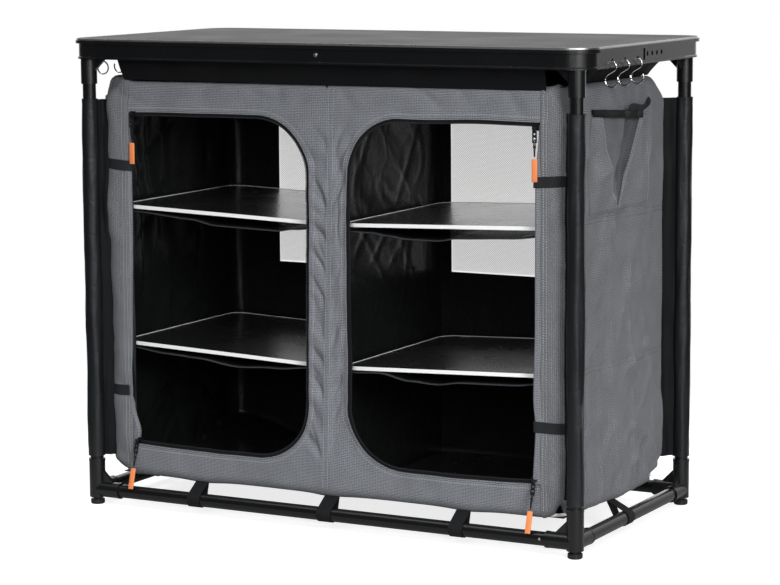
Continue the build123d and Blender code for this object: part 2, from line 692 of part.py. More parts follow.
def cord_radii():
    """Bend radius at each inner point: 0.45 of the shorter run over tan of half the turn."""
    found = []
    points = [Vector(0, a, b) for a, b in CORD_ROUTE]
    for before, at, after in zip(points, points[1:], points[2:]):
        first = at - before
        second = after - at
        turn = math.radians(first.get_angle(second))
        shorter = min(first.length, second.length)
        found.append(0.45 * shorter / math.tan(turn / 2))
    return found


def zip_cord(low):
    """The cord from the tag up through the puller's slot and back to the tag."""
    points = [(0, a, b) for a, b in CORD_ROUTE]
    path = FilletPolyline(*points, radius=cord_radii())
    ring = Plane(origin=path @ 0, z_dir=path % 0) * Circle(CORD_R)
    return pull_frame(low) * sweep(ring, path=path)


def both_columns(shape):
    """A piece of the right column and its mirror image in the left one."""
    return group([shape, mirror(shape, about=Plane.YZ)])


def four_corners(shape):
    return group([place(shape, side, end) for side in SIDES.values() for end in ENDS.values()])


def frame_parts():
    parts = {}
    front_rail = long_rail()
    parts["top_front_rail"] = front_rail
    parts["top_rear_rail"] = mirror(front_rail, about=Plane.XZ)
    right_rail = short_rail()
    parts["top_right_rail"] = right_rail
    parts["top_left_rail"] = mirror(right_rail, about=Plane.YZ)
    top = top_corner()
    low = bottom_corner()
    pad = foot()
    for end, e in ENDS.items():
        for side, s in SIDES.items():
            parts[f"top_corner_{end}_{side}"] = place(top, s, e)
            parts[f"bottom_corner_{end}_{side}"] = place(low, s, e)
            parts[f"foot_{end}_{side}"] = place(pad, s, e)
    parts["leg_tubes"] = four_corners(leg_tube())
    long_one = long_tube()
    parts["bottom_long_tubes"] = group([long_one, mirror(long_one, about=Plane.XZ)])
    parts["bottom_short_tubes"] = both_columns(short_tube())
    parts["worktop_board"], parts["worktop_edge_strip"] = worktop()
    parts["worktop_crossbar"] = crossbar()
    parts["rivets"] = rivets()
    for number, y in enumerate(HOOK_Y, start=1):
        hook = s_hook(y)
        parts[f"s_hook_right_{number}"] = hook
        parts[f"s_hook_left_{number}"] = mirror(hook, about=Plane.YZ)
    return parts


def body_parts():
    parts = {}
    front, side, back, roof, floor = body_panels()
    parts["front_right_panel"] = front
    parts["front_left_panel"] = mirror(front, about=Plane.YZ)
    parts["right_side_panel"] = side
    parts["left_side_panel"] = mirror(side, about=Plane.YZ)
    parts["back_panel"] = back
    parts["mesh_windows"] = mesh_windows()
    parts["roof_panel"] = roof
    parts["valance_panels"] = valance()
    parts["floor_panel"] = floor
    parts["centre_partition"] = partition()
    parts["leg_sleeves"] = four_corners(leg_sleeve())
    parts["side_pocket"] = side_pocket()
    slings = [shelf_sling(level) for level in SHELF_Z]
    parts["shelf_slings"] = group([both_columns(s) for s in slings])
    parts["shelf_boards"] = group([both_columns(shelf_board(level)) for level in SHELF_Z])
    parts["floor_boards"] = both_columns(floor_board())
    parts["door_rolls"] = both_columns(door_roll())
    parts["tie_straps"] = group([both_columns(tie_strap(z)) for z in TIE_Z])
    parts["tube_loops"] = tube_loops()
    parts["zip_tapes"] = both_columns(zip_tape())
    return parts


def zip_parts():
    parts = {}
    for name, low in (("top", False), ("bottom", True)):
        right = {
            "zip_slider": slider(low),
            "zip_pull": zip_pull(low),
            "zip_cord": zip_cord(low),
        }
        for piece, shape in right.items():
            parts[f"{piece}_{name}_right"] = shape
            parts[f"{piece}_{name}_left"] = mirror(shape, about=Plane.YZ)
    print("cord bend radii, mm:", [round(r, 1) for r in cord_radii()])
    return parts


def main():
    os.makedirs("parts", exist_ok=True)
    parts = {**frame_parts(), **body_parts(), **zip_parts()}
    for name, shape in parts.items():
        export_step(shape, f"parts/{name}.step")
    print(len(parts), "nodes")


main()
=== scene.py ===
# %% [markdown]
# # A camping cupboard, dressed in Blender
# The cupboard is a black tube frame with a grey worktop and a zipped fabric body hung inside it.
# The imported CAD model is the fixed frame. Its metal and plastic pieces stay and get finishes,
# and each piece of cloth is modelled again here, with its folds, seams, stitches and zips.

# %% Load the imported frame
import bpy
import math
from mathutils import Matrix, Vector, noise


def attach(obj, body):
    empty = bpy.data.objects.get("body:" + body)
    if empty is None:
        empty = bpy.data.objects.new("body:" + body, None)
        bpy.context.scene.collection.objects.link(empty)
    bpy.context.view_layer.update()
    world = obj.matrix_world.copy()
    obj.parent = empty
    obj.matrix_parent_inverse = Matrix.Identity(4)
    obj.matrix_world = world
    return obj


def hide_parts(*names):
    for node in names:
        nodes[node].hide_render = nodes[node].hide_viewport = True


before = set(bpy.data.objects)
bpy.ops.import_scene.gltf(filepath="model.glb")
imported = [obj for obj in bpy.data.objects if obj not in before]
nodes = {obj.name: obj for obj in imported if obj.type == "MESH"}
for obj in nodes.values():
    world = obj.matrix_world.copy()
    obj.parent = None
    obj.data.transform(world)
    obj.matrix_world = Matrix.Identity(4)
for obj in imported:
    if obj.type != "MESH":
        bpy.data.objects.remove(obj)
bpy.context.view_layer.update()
bpy.ops.object.select_all(action="DESELECT")
scene = bpy.context.scene
print("loaded", len(nodes), "nodes")

# %% [markdown]
# The photograph was taken with a long lens from the right, a little above the worktop.
# Its place was solved from the straight edges of the frame, so the camera is set by numbers.

# %% Camera
camera_data = bpy.data.cameras.new("photo_camera")
camera_data.lens = 123.67
camera_data.sensor_width = 36.0
camera_data.clip_end = 60.0
camera = bpy.data.objects.new("photo_camera", camera_data)
scene.collection.objects.link(camera)
turn = Matrix.Rotation(math.radians(28.097), 4, "Z")
tip = Matrix.Rotation(math.radians(90 - 7.941), 4, "X")
roll = Matrix.Rotation(math.radians(-0.324), 4, "Z")
camera.matrix_world = Matrix.Translation((2.1726, -4.0586, 1.0154)) @ turn @ tip @ roll
scene.camera = camera
scene.view_settings.view_transform = "Standard"
print("camera at", [round(v, 3) for v in camera.location])

# %% [markdown]
# Colours are written as sRGB hex values, as a paint chart gives them, and one function turns them
# to the linear values that Blender works in. One small function adds a shader node, sets it and
# links it. The others name what recurs: a weighted sum, a mix of two tones and a relief.

# %% Colour and node helpers


def linear(code):
    """sRGB hex to a linear RGBA tuple."""
    parts = [int(code[i:i + 2], 16) / 255 for i in (1, 3, 5)]
    return tuple(p / 12.92 if p <= 0.04045 else ((p + 0.055) / 1.055) ** 2.4 for p in parts) + (1.0,)


def add(material, kind, links=None, values=None, **settings):
    """Adds one node: its settings, its input values and its input links."""
    tree = material.node_tree
    made = tree.nodes.new("ShaderNode" + kind)
    for name, value in settings.items():
        setattr(made, name, value)
    for name, value in (values or {}).items():
        made.inputs[name].default_value = value
    for name, source in (links or {}).items():
        tree.links.new(source, made.inputs[name])
    return made


def new_material(name, colour, roughness, metallic=0.0, **sockets):
    """A material with its Principled shader set. Spaces in a socket's name become underscores."""
    material = bpy.data.materials.new(name)
    material.use_nodes = True
    inputs = material.node_tree.nodes["Principled BSDF"].inputs
    inputs["Base Color"].default_value = linear(colour)
    inputs["Roughness"].default_value = roughness
    inputs["Metallic"].default_value = metallic
    for socket, value in sockets.items():
        inputs[socket.replace("_", " ")].default_value = value
    material.diffuse_color = linear(colour)
    return material


def feed(material, socket, source):
    """Links an output to a socket of the material's Principled shader."""
    tree = material.node_tree
    tree.links.new(source, tree.nodes["Principled BSDF"].inputs[socket])


def weighted(material, source, factor, rest):
    """One output times a factor, plus a number or another output."""
    links, values = {0: source}, {1: factor}
    if isinstance(rest, float):
        values[2] = rest
    else:
        links[2] = rest
    return add(material, "Math", links, values, operation="MULTIPLY_ADD").outputs[0]


def two_tone(material, factor, dark, light):
    """The base colour runs from a dark to a light linear colour."""
    mix = add(material, "Mix", {"Factor": factor}, data_type="RGBA")
    mix.inputs["A"].default_value = dark
    mix.inputs["B"].default_value = light
    feed(material, "Base Color", mix.outputs["Result"])


def relief(material, height, strength, distance):
    """A height becomes a bump, its distance in metres."""
    bump = add(material, "Bump", {"Height": height}, {"Strength": strength, "Distance": distance})
    feed(material, "Normal", bump.outputs["Normal"])


print("helpers ready")

# %% [markdown]
# The outside cloth is a two-tone polyester oxford: light and dark yarns cross, so it looks
# flecked close up and mid grey from afar. Each fleck is about 0.5 mm on the real cloth. That is
# finer than a pixel, so it is drawn about 1.5 mm long. The UV map of each cloth piece is in metres.

# %% Oxford cloth and black lining


def oxford(name, light, dark, rows=0.45):
    """Two-tone woven polyester on the UV map: rows of weft ribs crossed by finer warp lines."""
    material = new_material(name, light, 0.86, Specular_IOR_Level=0.25, Sheen_Weight=0.10,
                            Sheen_Roughness=0.5)
    uv = add(material, "UVMap").outputs["UV"]
    weft, warp = [add(material, "TexWave", {"Vector": uv}, {"Scale": 0.314 / pitch, "Distortion": 0.3},
                      bands_direction=way).outputs["Fac"] for pitch, way in ((0.0027, "Y"), (0.0029, "X"))]
    broad = add(material, "TexNoise", {"Vector": uv}, {"Scale": 30.0, "Detail": 1.0}).outputs["Fac"]
    at_fleck = add(material, "Mapping", {"Vector": uv}, {"Scale": (330, 620, 1)}).outputs[0]
    fleck = add(material, "TexNoise", {"Vector": at_fleck}, {"Scale": 1.0, "Detail": 1.5}).outputs["Fac"]
    crossed = add(material, "Math", {0: weft, 1: warp}, operation="MULTIPLY").outputs[0]
    weave = weighted(material, fleck, 1.5, weighted(material, weft, rows, crossed))
    tone = weighted(material, broad, 0.25, weighted(material, weave, 0.75, -0.55))
    two_tone(material, tone, linear(dark), linear(light))
    relief(material, weave, 0.35, 0.0006)
    return material


def lining(name, colour, rough, crease_mm, strength, shine):
    """Black polyester: broad and sharp creases in its height, a fine grain in its gloss."""
    material = new_material(name, colour, rough, Specular_IOR_Level=shine)
    place = add(material, "TexCoord").outputs["Object"]
    scale = 1000 / crease_mm
    broad = add(material, "TexNoise", {"Vector": place},
                {"Scale": scale * 0.35, "Detail": 4.0, "Distortion": 0.9})
    sharp = add(material, "TexVoronoi", {"Vector": place}, {"Scale": scale}, feature="DISTANCE_TO_EDGE")
    cut = add(material, "Math", {0: sharp.outputs["Distance"]}, {1: 0.12}, operation="MINIMUM")
    grain = add(material, "TexNoise", {"Vector": place}, {"Scale": 900.0, "Detail": 1.0})
    gloss = add(material, "MapRange", {"Value": grain.outputs["Fac"]},
                {"To Min": rough - 0.08, "To Max": rough + 0.1})
    feed(material, "Roughness", gloss.outputs["Result"])
    relief(material, weighted(material, cut.outputs[0], 1.2, broad.outputs["Fac"]), strength, 0.004)
    return material


# yarn-dyed oxford on the front: mid grey with clear rows of ribs
front_cloth = oxford("front_oxford_cloth", "#8c8f95", "#4a4c51")
# the same cloth on the sides, where the ribs are hardly seen
side_cloth = oxford("side_oxford_cloth", "#8c8e92", "#4b4d51", 0.10)
# the coated inner face: nearly black, with a wet shine along its creases
black_cloth = lining("coated_black_lining", "#121313", 0.27, 70, 0.55, 0.22)
# uncoated black oxford: dull and even
outer_black = lining("black_oxford_outside", "#0d0e10", 0.70, 40, 0.2, 0.15)
# the sleeves' smoother black cloth: one soft line of light down each leg
sleeve_cloth = lining("black_sleeve_cloth", "#0f1114", 0.44, 30, 0.25, 0.38)
print("cloth materials:", front_cloth.name, side_cloth.name, black_cloth.name)

# %% [markdown]
# Webbing is woven with ribs across its length, and the hook-and-loop straps have a napped face.
# The zip's tape is a fine twill and its coil is nylon.

# %% Webbing, straps, zip tape


def ribbed(name, colour, rib_mm, rough, nap=0.0):
    """Narrow woven goods on the UV map, ribs across V."""
    material = new_material(name, colour, rough, Specular_IOR_Level=0.25)
    uv = add(material, "UVMap").outputs["UV"]
    ribs = add(material, "TexWave", {"Vector": uv},
               {"Scale": 314 / rib_mm, "Distortion": 0.4, "Detail": 1.0}, bands_direction="Y")
    fuzz = add(material, "TexNoise", {"Vector": uv}, {"Scale": 1400.0, "Detail": 2.0}).outputs["Fac"]
    relief(material, weighted(material, fuzz, 0.6 + nap, ribs.outputs["Fac"]), 0.6, 0.0005)
    dark, light = [tuple(c * share for c in linear(colour)[:3]) + (1,) for share in (0.7, 1.4)]
    two_tone(material, fuzz, dark, light)
    return material


# woven polypropylene: black, with ribs across the band
webbing = ribbed("polypropylene_webbing", "#0f1012", 1.6, 0.65)
# hook-and-loop face: a dull, slightly grey nap
napped = ribbed("hook_and_loop_strap", "#1f2023", 2.2, 0.8, nap=0.8)
# twill tape: flat black beside the coil
zip_cloth = ribbed("polyester_zip_tape", "#0b0c0e", 1.4, 0.8)
# hem strip under each board: its grey is a painted highlight of the sling's lit front edge
hem_highlight_tape = ribbed("hem_painted_highlight", "#3a3c44", 1.2, 0.5)
print("narrow goods ready")

# %% [markdown]
# Hard finishes: satin powder coat on the tubes and rails, fine-textured ABS on the corners,
# grey laminate on the worktop, anodised aluminium round it, foil-faced board on the shelves,
# bright chrome wire, a dark plated zip slider and a soft orange PVC tag.

# %% Metal, plastic and board finishes


def grained(name, colour, rough, grain_mm, strength, metallic=0.0, spread=0.06, **sockets):
    """A moulded, coated or plated surface: fine grain in its height, slow changes in its gloss."""
    material = new_material(name, colour, rough, metallic, **sockets)
    place = add(material, "TexCoord").outputs["Object"]
    grain = add(material, "TexNoise", {"Vector": place}, {"Scale": 1000 / grain_mm, "Detail": 2.0})
    worn = add(material, "TexNoise", {"Vector": place}, {"Scale": 9.0, "Detail": 5.0})
    gloss = add(material, "MapRange", {"Value": worn.outputs["Fac"]},
                {"From Min": 0.3, "From Max": 0.7, "To Min": rough - spread, "To Max": rough + spread})
    feed(material, "Roughness", gloss.outputs["Result"])
    relief(material, grain.outputs["Fac"], strength, grain_mm * 0.0002)
    return material


# satin powder coat: deep black with one soft line of light
powder = grained("satin_powder_coat", "#0c0d0f", 0.24, 1.6, 0.15, Specular_IOR_Level=0.45)
# injection-moulded ABS: the same black, its lights a little broader
abs_plastic = grained("moulded_black_abs", "#0c0d0f", 0.28, 1.2, 0.15)
# a duller, rougher plastic on the feet
foot_plastic = grained("moulded_foot_plastic", "#0f1011", 0.5, 1.0, 0.3)
# chromed steel wire: hard bright lines
chrome = grained("chromed_wire", "#d9dadc", 0.10, 3.0, 0.05, metallic=1.0, spread=0.03)
# anodised aluminium: a soft white rim
anodised = grained("anodised_aluminium", "#d4d5d7", 0.30, 1.5, 0.2, metallic=1.0)
# aluminium rivets: small grey dots
rivet_metal = grained("aluminium_rivet", "#a8aaad", 0.35, 1.5, 0.2, metallic=1.0)
# dark plated zinc: gunmetal glints on the sliders and pullers
plated = grained("dark_plated_zinc", "#3a3b3e", 0.32, 1.0, 0.2, metallic=0.9)
# nylon coil: black beads with a faint shine
nylon = grained("nylon_coil", "#1b1c1e", 0.45, 0.8, 0.2)
# moulded PVC: the only strong colour, soft and a little translucent
orange_tag = grained("orange_pvc_tag", "#ea8850", 0.55, 1.2, 0.3, Subsurface_Weight=0.05)
# polyester thread, grey on the hems and black on the shelf seams
thread = grained("polyester_thread", "#a3a6aa", 0.7, 0.6, 0.2)
dark_thread = grained("black_thread", "#3a3b3f", 0.7, 0.6, 0.2)
# knitted polyester net: off-white against the black body
net_yarn = grained("knitted_polyester_net", "#e2e2de", 0.75, 0.9, 0.3)
# bright foil wrapped round the boards' edges
foil = grained("bright_foil_trim", "#f2f3f3", 0.35, 1.4, 0.05)
# melamine-faced board: an even grey satin face with a very fine speckle
worktop_face = grained("grey_melamine_laminate", "#4e4f51", 0.62, 1.1, 0.12, Specular_IOR_Level=0.2)
top_place = add(worktop_face, "TexCoord").outputs["Object"]
speck = add(worktop_face, "TexNoise", {"Vector": top_place}, {"Scale": 520.0, "Detail": 2.0})
two_tone(worktop_face, speck.outputs["Fac"], linear("#373738"), linear("#434344"))
# foil-faced board: a dark mirror-like face, and bright foil on its upright edge
shelf_board = grained("foil_faced_board", "#0f1011", 0.27, 1.4, 0.0, spread=0.02, IOR=3.0)
axes = add(shelf_board, "SeparateXYZ", {"Vector": add(shelf_board, "TexCoord").outputs["Normal"]})
upright = add(shelf_board, "Math", {0: axes.outputs["Z"]}, operation="ABSOLUTE")
banded = add(shelf_board, "Math", {0: upright.outputs[0]}, {1: 0.5}, operation="LESS_THAN")
two_tone(shelf_board, banded.outputs[0], linear("#0f1011"), linear("#f2f3f3"))
print("hard finishes ready")

# %% [markdown]
# Every metal and plastic CAD node keeps its shape and takes its finish here, by a word in its name.

# %% Dress the CAD nodes
FINISHES = (("corner", abs_plastic), ("_rail", powder), ("tubes", powder), ("crossbar", powder),
            ("worktop_board", worktop_face), ("edge_strip", anodised), ("rivets", rivet_metal),
            ("boards", shelf_board), ("foot_", foot_plastic), ("s_hook", chrome), ("zip_slider", plated))
dressed = 0
for name, node in nodes.items():
    for word, finish in FINISHES:
        if word in name:
            node.data.materials.clear()
            node.data.materials.append(finish)
            dressed += 1
            break
print("dressed", dressed, "CAD nodes")

# %% [markdown]
# ## The body cloth
# The body is one soft box. A point of its skin is given on the flat cloth: how far it is round the
# body's outline and how high. One function finds its place in space, rolls it over at the top and
# bottom edges, and adds the folds, so that panels which share a seam meet along it.

# %% The skin of the body
BODY_X, BODY_Y = 0.436, 0.209  # half the body's width and depth
LOW, TOP = 0.054, 0.752  # its lower and upper edge
EDGE_R = 0.028  # the upright edges, seen from above
ROLL_R = 0.014  # the top edge
SEAM_X = 0.390  # where the side panel is sewn to the front
CLOTH = 0.0012  # cloth and lining together
OPEN_X = (0.0365, 0.390)  # the door opening, a D
OPEN_Z = (0.111, 0.692)
OPEN_R = 0.100
STRAP_Z = (0.602, 0.205)
SHELF_SEAMS = ((0.536, 0.528), (0.292, 0.284))  # height at the front and at the back
QUARTER = EDGE_R * math.pi / 2
FRONT_RUN = BODY_X - EDGE_R
SIDE_RUN = 2 * (BODY_Y - EDGE_R)
ROUND_TO_BACK = FRONT_RUN + QUARTER + SIDE_RUN + QUARTER


def bell(value, middle, width):
    return math.exp(-((value - middle) / width) ** 2)


def outline(g):
    """Place and outward normal in plan, at distance g round the right half from the front's middle."""
    a, b = BODY_X - EDGE_R, BODY_Y - EDGE_R
    if g <= a:
        return g, -BODY_Y, 0.0, -1.0
    g -= a
    if g <= QUARTER:
        t = g / EDGE_R
        return a + EDGE_R * math.sin(t), -b - EDGE_R * math.cos(t), math.sin(t), -math.cos(t)
    g -= QUARTER
    if g <= SIDE_RUN:
        return BODY_X, -b + g, 1.0, 0.0
    g -= SIDE_RUN
    if g <= QUARTER:
        t = g / EDGE_R
        return a + EDGE_R * math.cos(t), b + EDGE_R * math.sin(t), math.cos(t), math.sin(t)
    return a - (g - QUARTER), BODY_Y, 0.0, 1.0


def smooth(value):
    value = min(1.0, max(0.0, value))
    return value * value * (3 - 2 * value)


def front_droop(x, y):
    """Between its corners the front's top edge hangs a little lower, most at the left."""
    return (0.0058 - 0.0092 * x) * smooth((0.404 - abs(x)) / 0.02) * smooth((-0.17 - y) / 0.03)


def rear_lift(x, y):
    """The frame's loops pull the lower rear corners up."""
    return 0.034 * smooth((y - 0.100) / 0.100) * smooth((abs(x) - 0.26) / 0.15)


def rear_drop(y):
    """The top slopes down to the back."""
    return 0.047 * min(1.0, max(0.0, (y - 0.139) / 0.070)) ** 1.15


def top_of(g, side=1):
    """Height of the cloth's top edge: it drops round the rear and a little at the front corner."""
    x, y, _, _ = outline(g)
    ear = 0.0040 * bell(g, 0.418, 0.012) if side > 0 else 0.0
    return TOP - 0.001 + ear - front_droop(side * x, y) - rear_drop(y)


def low_of(g, side=1):
    """Height of the cloth's lower edge: the front corner is cut off, the rear corner is pulled up."""
    x, y, _, _ = outline(g)
    lift = (0.022 if side > 0 else 0.014) * bell(g, FRONT_RUN + QUARTER / 2, 0.020)
    if y < 0:
        held = max(bell(x, at, 0.040) for at in (0.254, 0.0)) if y < -0.18 else bell(y, -0.015, 0.045)
        lift += 0.0035 * (1 - held)
    return LOW - 0.0045 + lift + rear_lift(x, y)


print("body outline:", round(ROUND_TO_BACK, 3), "m round one half")

# %% [markdown]
# Sewn cloth never lies flat. Drag lines are soft folds that lean away from upright, and creases are
# thin ridges. Both come from smooth noise with a fixed seed, so each run gives the same folds.

# %% Kinds of fold


def drag(a, b, seed, lean, long, short):
    """Drag lines: soft folds that lean by an angle from upright."""
    u = a * math.cos(lean) + b * math.sin(lean)
    v = b * math.cos(lean) - a * math.sin(lean)
    return noise.noise(Vector((u * short, v * long, seed)))


def from_opening(x, z):
    """Distance outwards from the edge of the D-shaped opening."""
    across = OPEN_X[0] + OPEN_R - x
    upward = abs(z - (OPEN_Z[0] + OPEN_Z[1]) / 2) - (OPEN_Z[1] - OPEN_Z[0]) / 2 + OPEN_R
    return math.hypot(max(across, 0), max(upward, 0)) + min(max(across, upward), 0) - OPEN_R


def soft_floor(value, depth):
    """Cloth that would sink in stops short of the boards behind it."""
    return value if value > 0 else -depth * (1 - math.exp(value / depth))


def crumple(a, b, seed, lean, long, short, sharp):
    """Sharp creases: thin ridges where a soft fold changes sign."""
    return max(0.0, 1 - abs(drag(a, b, seed, lean, long, short)) * sharp)


def stile_creases(x, z, side, gap):
    """Slanting creases that run from each opening down to the middle seam, like chevrons."""
    mask = smooth((0.060 - x) / 0.02) * smooth((0.70 - z) / 0.06) * smooth((z - 0.10) / 0.05)
    mask *= 0.2 + 0.8 * smooth(gap / 0.012)
    if mask <= 0:
        return 0.0
    slope = 1.15 + 0.5 * noise.noise(Vector((z * 5, side * 3.0, 1.0)))
    along = z - slope * x + 0.010 * noise.noise(Vector((x * 30, z * 9, side * 5.0)))
    pitch = 0.046 if side > 0 else 0.053
    number = round(along / pitch)
    away = along - number * pitch
    depth = 0.0026 * max(0.0, 0.45 + 0.9 * noise.noise(Vector((number * 1.7, side * 2.3, 4.0))))
    reach = smooth((x - 0.001) / 0.010)
    valley = depth * reach * math.exp(-(away / 0.0040) ** 2)
    swell = 0.0016 * math.cos(2 * math.pi * along / pitch) * reach
    sharp = (0.0040 * crumple(x, z, 3.0 + side, -0.80, 7, 20, 6)
             + 0.0026 * crumple(x, z, 8.0 + side, -0.45, 9, 26, 6))
    return mask * (0.0016 * drag(x * side, z, 6.0, 0.3, 12, 34) - valley - 0.5 * swell - sharp * reach)


print("fold functions ready")

# %% [markdown]
# Each face of the body folds in its own way. The front's outer strip is puffed out by the rolled
# door and drawn in under the straps, its foot is ruffled, and its upper corner is folded like a dog's
# ear. The side has long slack folds, two seams at shelf height and diagonals to the lifted corner.

# %% Folds of the front and the side


def front_folds(g, x, z, side, seed):
    """How far the front stands out."""
    within = 1 / (1 + math.exp(-(z - 0.105) / 0.008)) / (1 + math.exp((z - 0.700) / 0.008))
    cinch = 1 - 0.85 * bell(z, STRAP_Z[0], 0.020) - 0.85 * bell(z, STRAP_Z[1], 0.020)
    strip = max(0.0, 1 - abs((x - 0.411) / 0.024) ** 2.4)
    out = strip * within * cinch * (0.0040 + 0.0022 * drag(x, z, seed, 0.15, 7, 30))
    gap = from_opening(x, z)
    hem = math.exp(-max(gap, 0.0) / 0.030) * (0.3 + 0.7 * smooth(gap / 0.010))
    out += hem * 0.0026 * drag(x, z, seed + 2, 0.5 * side, 16, 34)
    out += stile_creases(x, z, side, gap)
    out -= 0.0013 * bell(x, SEAM_X - 0.0012, 0.0016)
    out += smooth((0.150 - z) / 0.05) * 0.0042 * drag(x, z, seed + 4, -0.9 * side, 10, 20)
    out -= smooth((z - 0.69) / 0.03) * 0.0026 * crumple(x, z, seed + 9, 0.9 * side, 9, 16, 5)
    if side < 0:
        out -= 0.006 * smooth((g - 0.393) / 0.03)
    return out


def dog_ear(g, z):
    """How deep the cloth is folded in at the front's upper corner."""
    past_fold = ((g - 0.411) * 0.023 + (z - 0.747) * 0.019) / 0.0298
    along_fold = ((g - 0.411) * 0.019 - (z - 0.745) * 0.023) / 0.0298
    depth = 0.0
    if abs(along_fold - 0.015) < 0.020:
        depth += 0.0070 * bell(past_fold, 0.0, 0.0026)
    if g < FRONT_RUN + QUARTER:
        ending = smooth((FRONT_RUN + QUARTER + 0.012 - g) / 0.02)
        depth += (0.0050 + 0.6 * max(0.0, past_fold)) * smooth(past_fold / 0.005) * ending
    return depth


def flank_folds(y, z, side, seed, across, slack):
    """How far the side stands out: across is 1 on the side, slack is less near its rear edge."""
    out = slack * 0.0085 * drag(y, z, seed, 0.18 * side, 3.5, 12)
    out += slack * 0.0050 * drag(y, z, seed + 5, -0.55, 7, 24)
    out += slack * 0.0046 * crumple(y, z, seed + 6, 0.12, 3, 13, 6)
    out += slack * 0.0036 * crumple(y, z, seed + 7, -0.7, 5, 15, 7)
    out += slack * smooth((z - 0.715) / 0.03) * 0.0042 * drag(y, z, seed + 3, 0.0, 5, 26)
    rear_low = across * smooth((y - 0.02) / 0.10) * smooth((0.26 - z) / 0.16) * smooth((0.205 - y) / 0.03)
    out += rear_low * 0.0070 * drag(y, z, seed + 8, 0.75, 6, 22)
    return out + rear_low * 0.0080 * crumple(y, z, seed + 11, 0.70, 4, 15, 5)


def folds(g, x, y, z, nx, ny, side):
    """How far the cloth stands out from its flat place, in metres."""
    seed = 3.1 if side > 0 else 17.7
    out = 0.0
    for amount, wide, high in ((0.0026, 5.5, 3.2), (0.0012, 17, 9.0), (0.0004, 44, 24.0)):
        out += amount * noise.noise(Vector((x * wide + seed, y * wide, z * high)))
    if ny < 0:
        out += -ny * front_folds(g, x, z, side, seed)
        out *= smooth(x / 0.015)
    out -= dog_ear(g, z)
    slack = abs(nx) * (1 - 0.85 * smooth((y - 0.115) / 0.04))
    if nx:
        out += flank_folds(y, z, side, seed, abs(nx), slack)
        out += abs(nx) * (soft_floor(out + 0.0010, 0.0032) - out)
    for front_z, rear_z in SHELF_SEAMS:
        seam = front_z + (rear_z - front_z) * (y + BODY_Y) / (2 * BODY_Y)
        out += slack * 0.0014 * (bell(z, seam - 0.016, 0.010) - bell(z, seam, 0.0035))
    if side < 0:
        puff = 0.0085 * bell(g, FRONT_RUN + QUARTER * 0.6, 0.040)
        out += puff * smooth((0.742 - z) / 0.03) * smooth((z - 0.05) / 0.03)
    return out


print("folds ready")

# %% [markdown]
# One function now gives any point of the skin. The cloth rolls over the body's top and bottom edges
# with a small radius, and the folds fade on the way round.

# %% A point of the skin


def skin(g, z, side, out=0.0):
    """A point of the cloth. side is 1 right or -1 left, and out lifts it off the surface."""
    x, y, nx, ny = outline(g)
    top, low = top_of(g, side), low_of(g, side)
    foot_r = 0.017 if y < -0.10 else 0.014
    over, under = z - (top - ROLL_R), (low + foot_r) - z
    inward, height, fade = 0.0, z, 1.0
    if over > 0 or under > 0:
        if over > 0:
            way, past, r, edge = 1, over, ROLL_R, top - ROLL_R
        else:
            way, past, r, edge = -1, under, foot_r, low + foot_r
        t = min(past / r, math.pi / 2)
        fade = math.cos(t)
        height = edge + way * (r + out) * math.sin(t)
        inward = r * (1 - fade) + max(0.0, past - r * math.pi / 2)
    lift = folds(g, x, y, height, nx, ny, side) * max(0.25, fade) + out * fade - inward
    return Vector((side * (x + nx * lift), y + ny * lift, height))


print("skin ready")

# %% [markdown]
# Cloth pieces are grids. This helper turns rows of points into a mesh with a UV map in metres,
# gives it the cloth's thickness with a Solidify modifier, and applies that.

# %% Mesh and cloth helpers


def select_only(*objects):
    """Selects these objects and makes the last one active."""
    bpy.ops.object.select_all(action="DESELECT")
    for obj in objects:
        obj.select_set(True)
    bpy.context.view_layer.objects.active = objects[-1]


def finish_mesh(obj, angle=40):
    """Applies the modifiers and shades the mesh smooth up to an angle."""
    select_only(obj)
    for modifier in list(obj.modifiers):
        bpy.ops.object.modifier_apply(modifier=modifier.name)
    bpy.ops.object.shade_smooth_by_angle(angle=math.radians(angle))
    obj.select_set(False)


def new_object(name, points, faces, materials):
    """A mesh object in the scene, from points and faces."""
    mesh = bpy.data.meshes.new(name)
    mesh.from_pydata([tuple(p) for p in points], [], faces)
    mesh.update()
    for material in materials:
        mesh.materials.append(material)
    obj = bpy.data.objects.new(name, mesh)
    scene.collection.objects.link(obj)
    return obj


def face_outwards(obj):
    """Turns the faces of many small closed bodies outwards."""
    select_only(obj)
    bpy.ops.object.mode_set(mode="EDIT")
    bpy.ops.mesh.select_all(action="SELECT")
    bpy.ops.mesh.normals_make_consistent(inside=False)
    bpy.ops.object.mode_set(mode="OBJECT")
    obj.select_set(False)


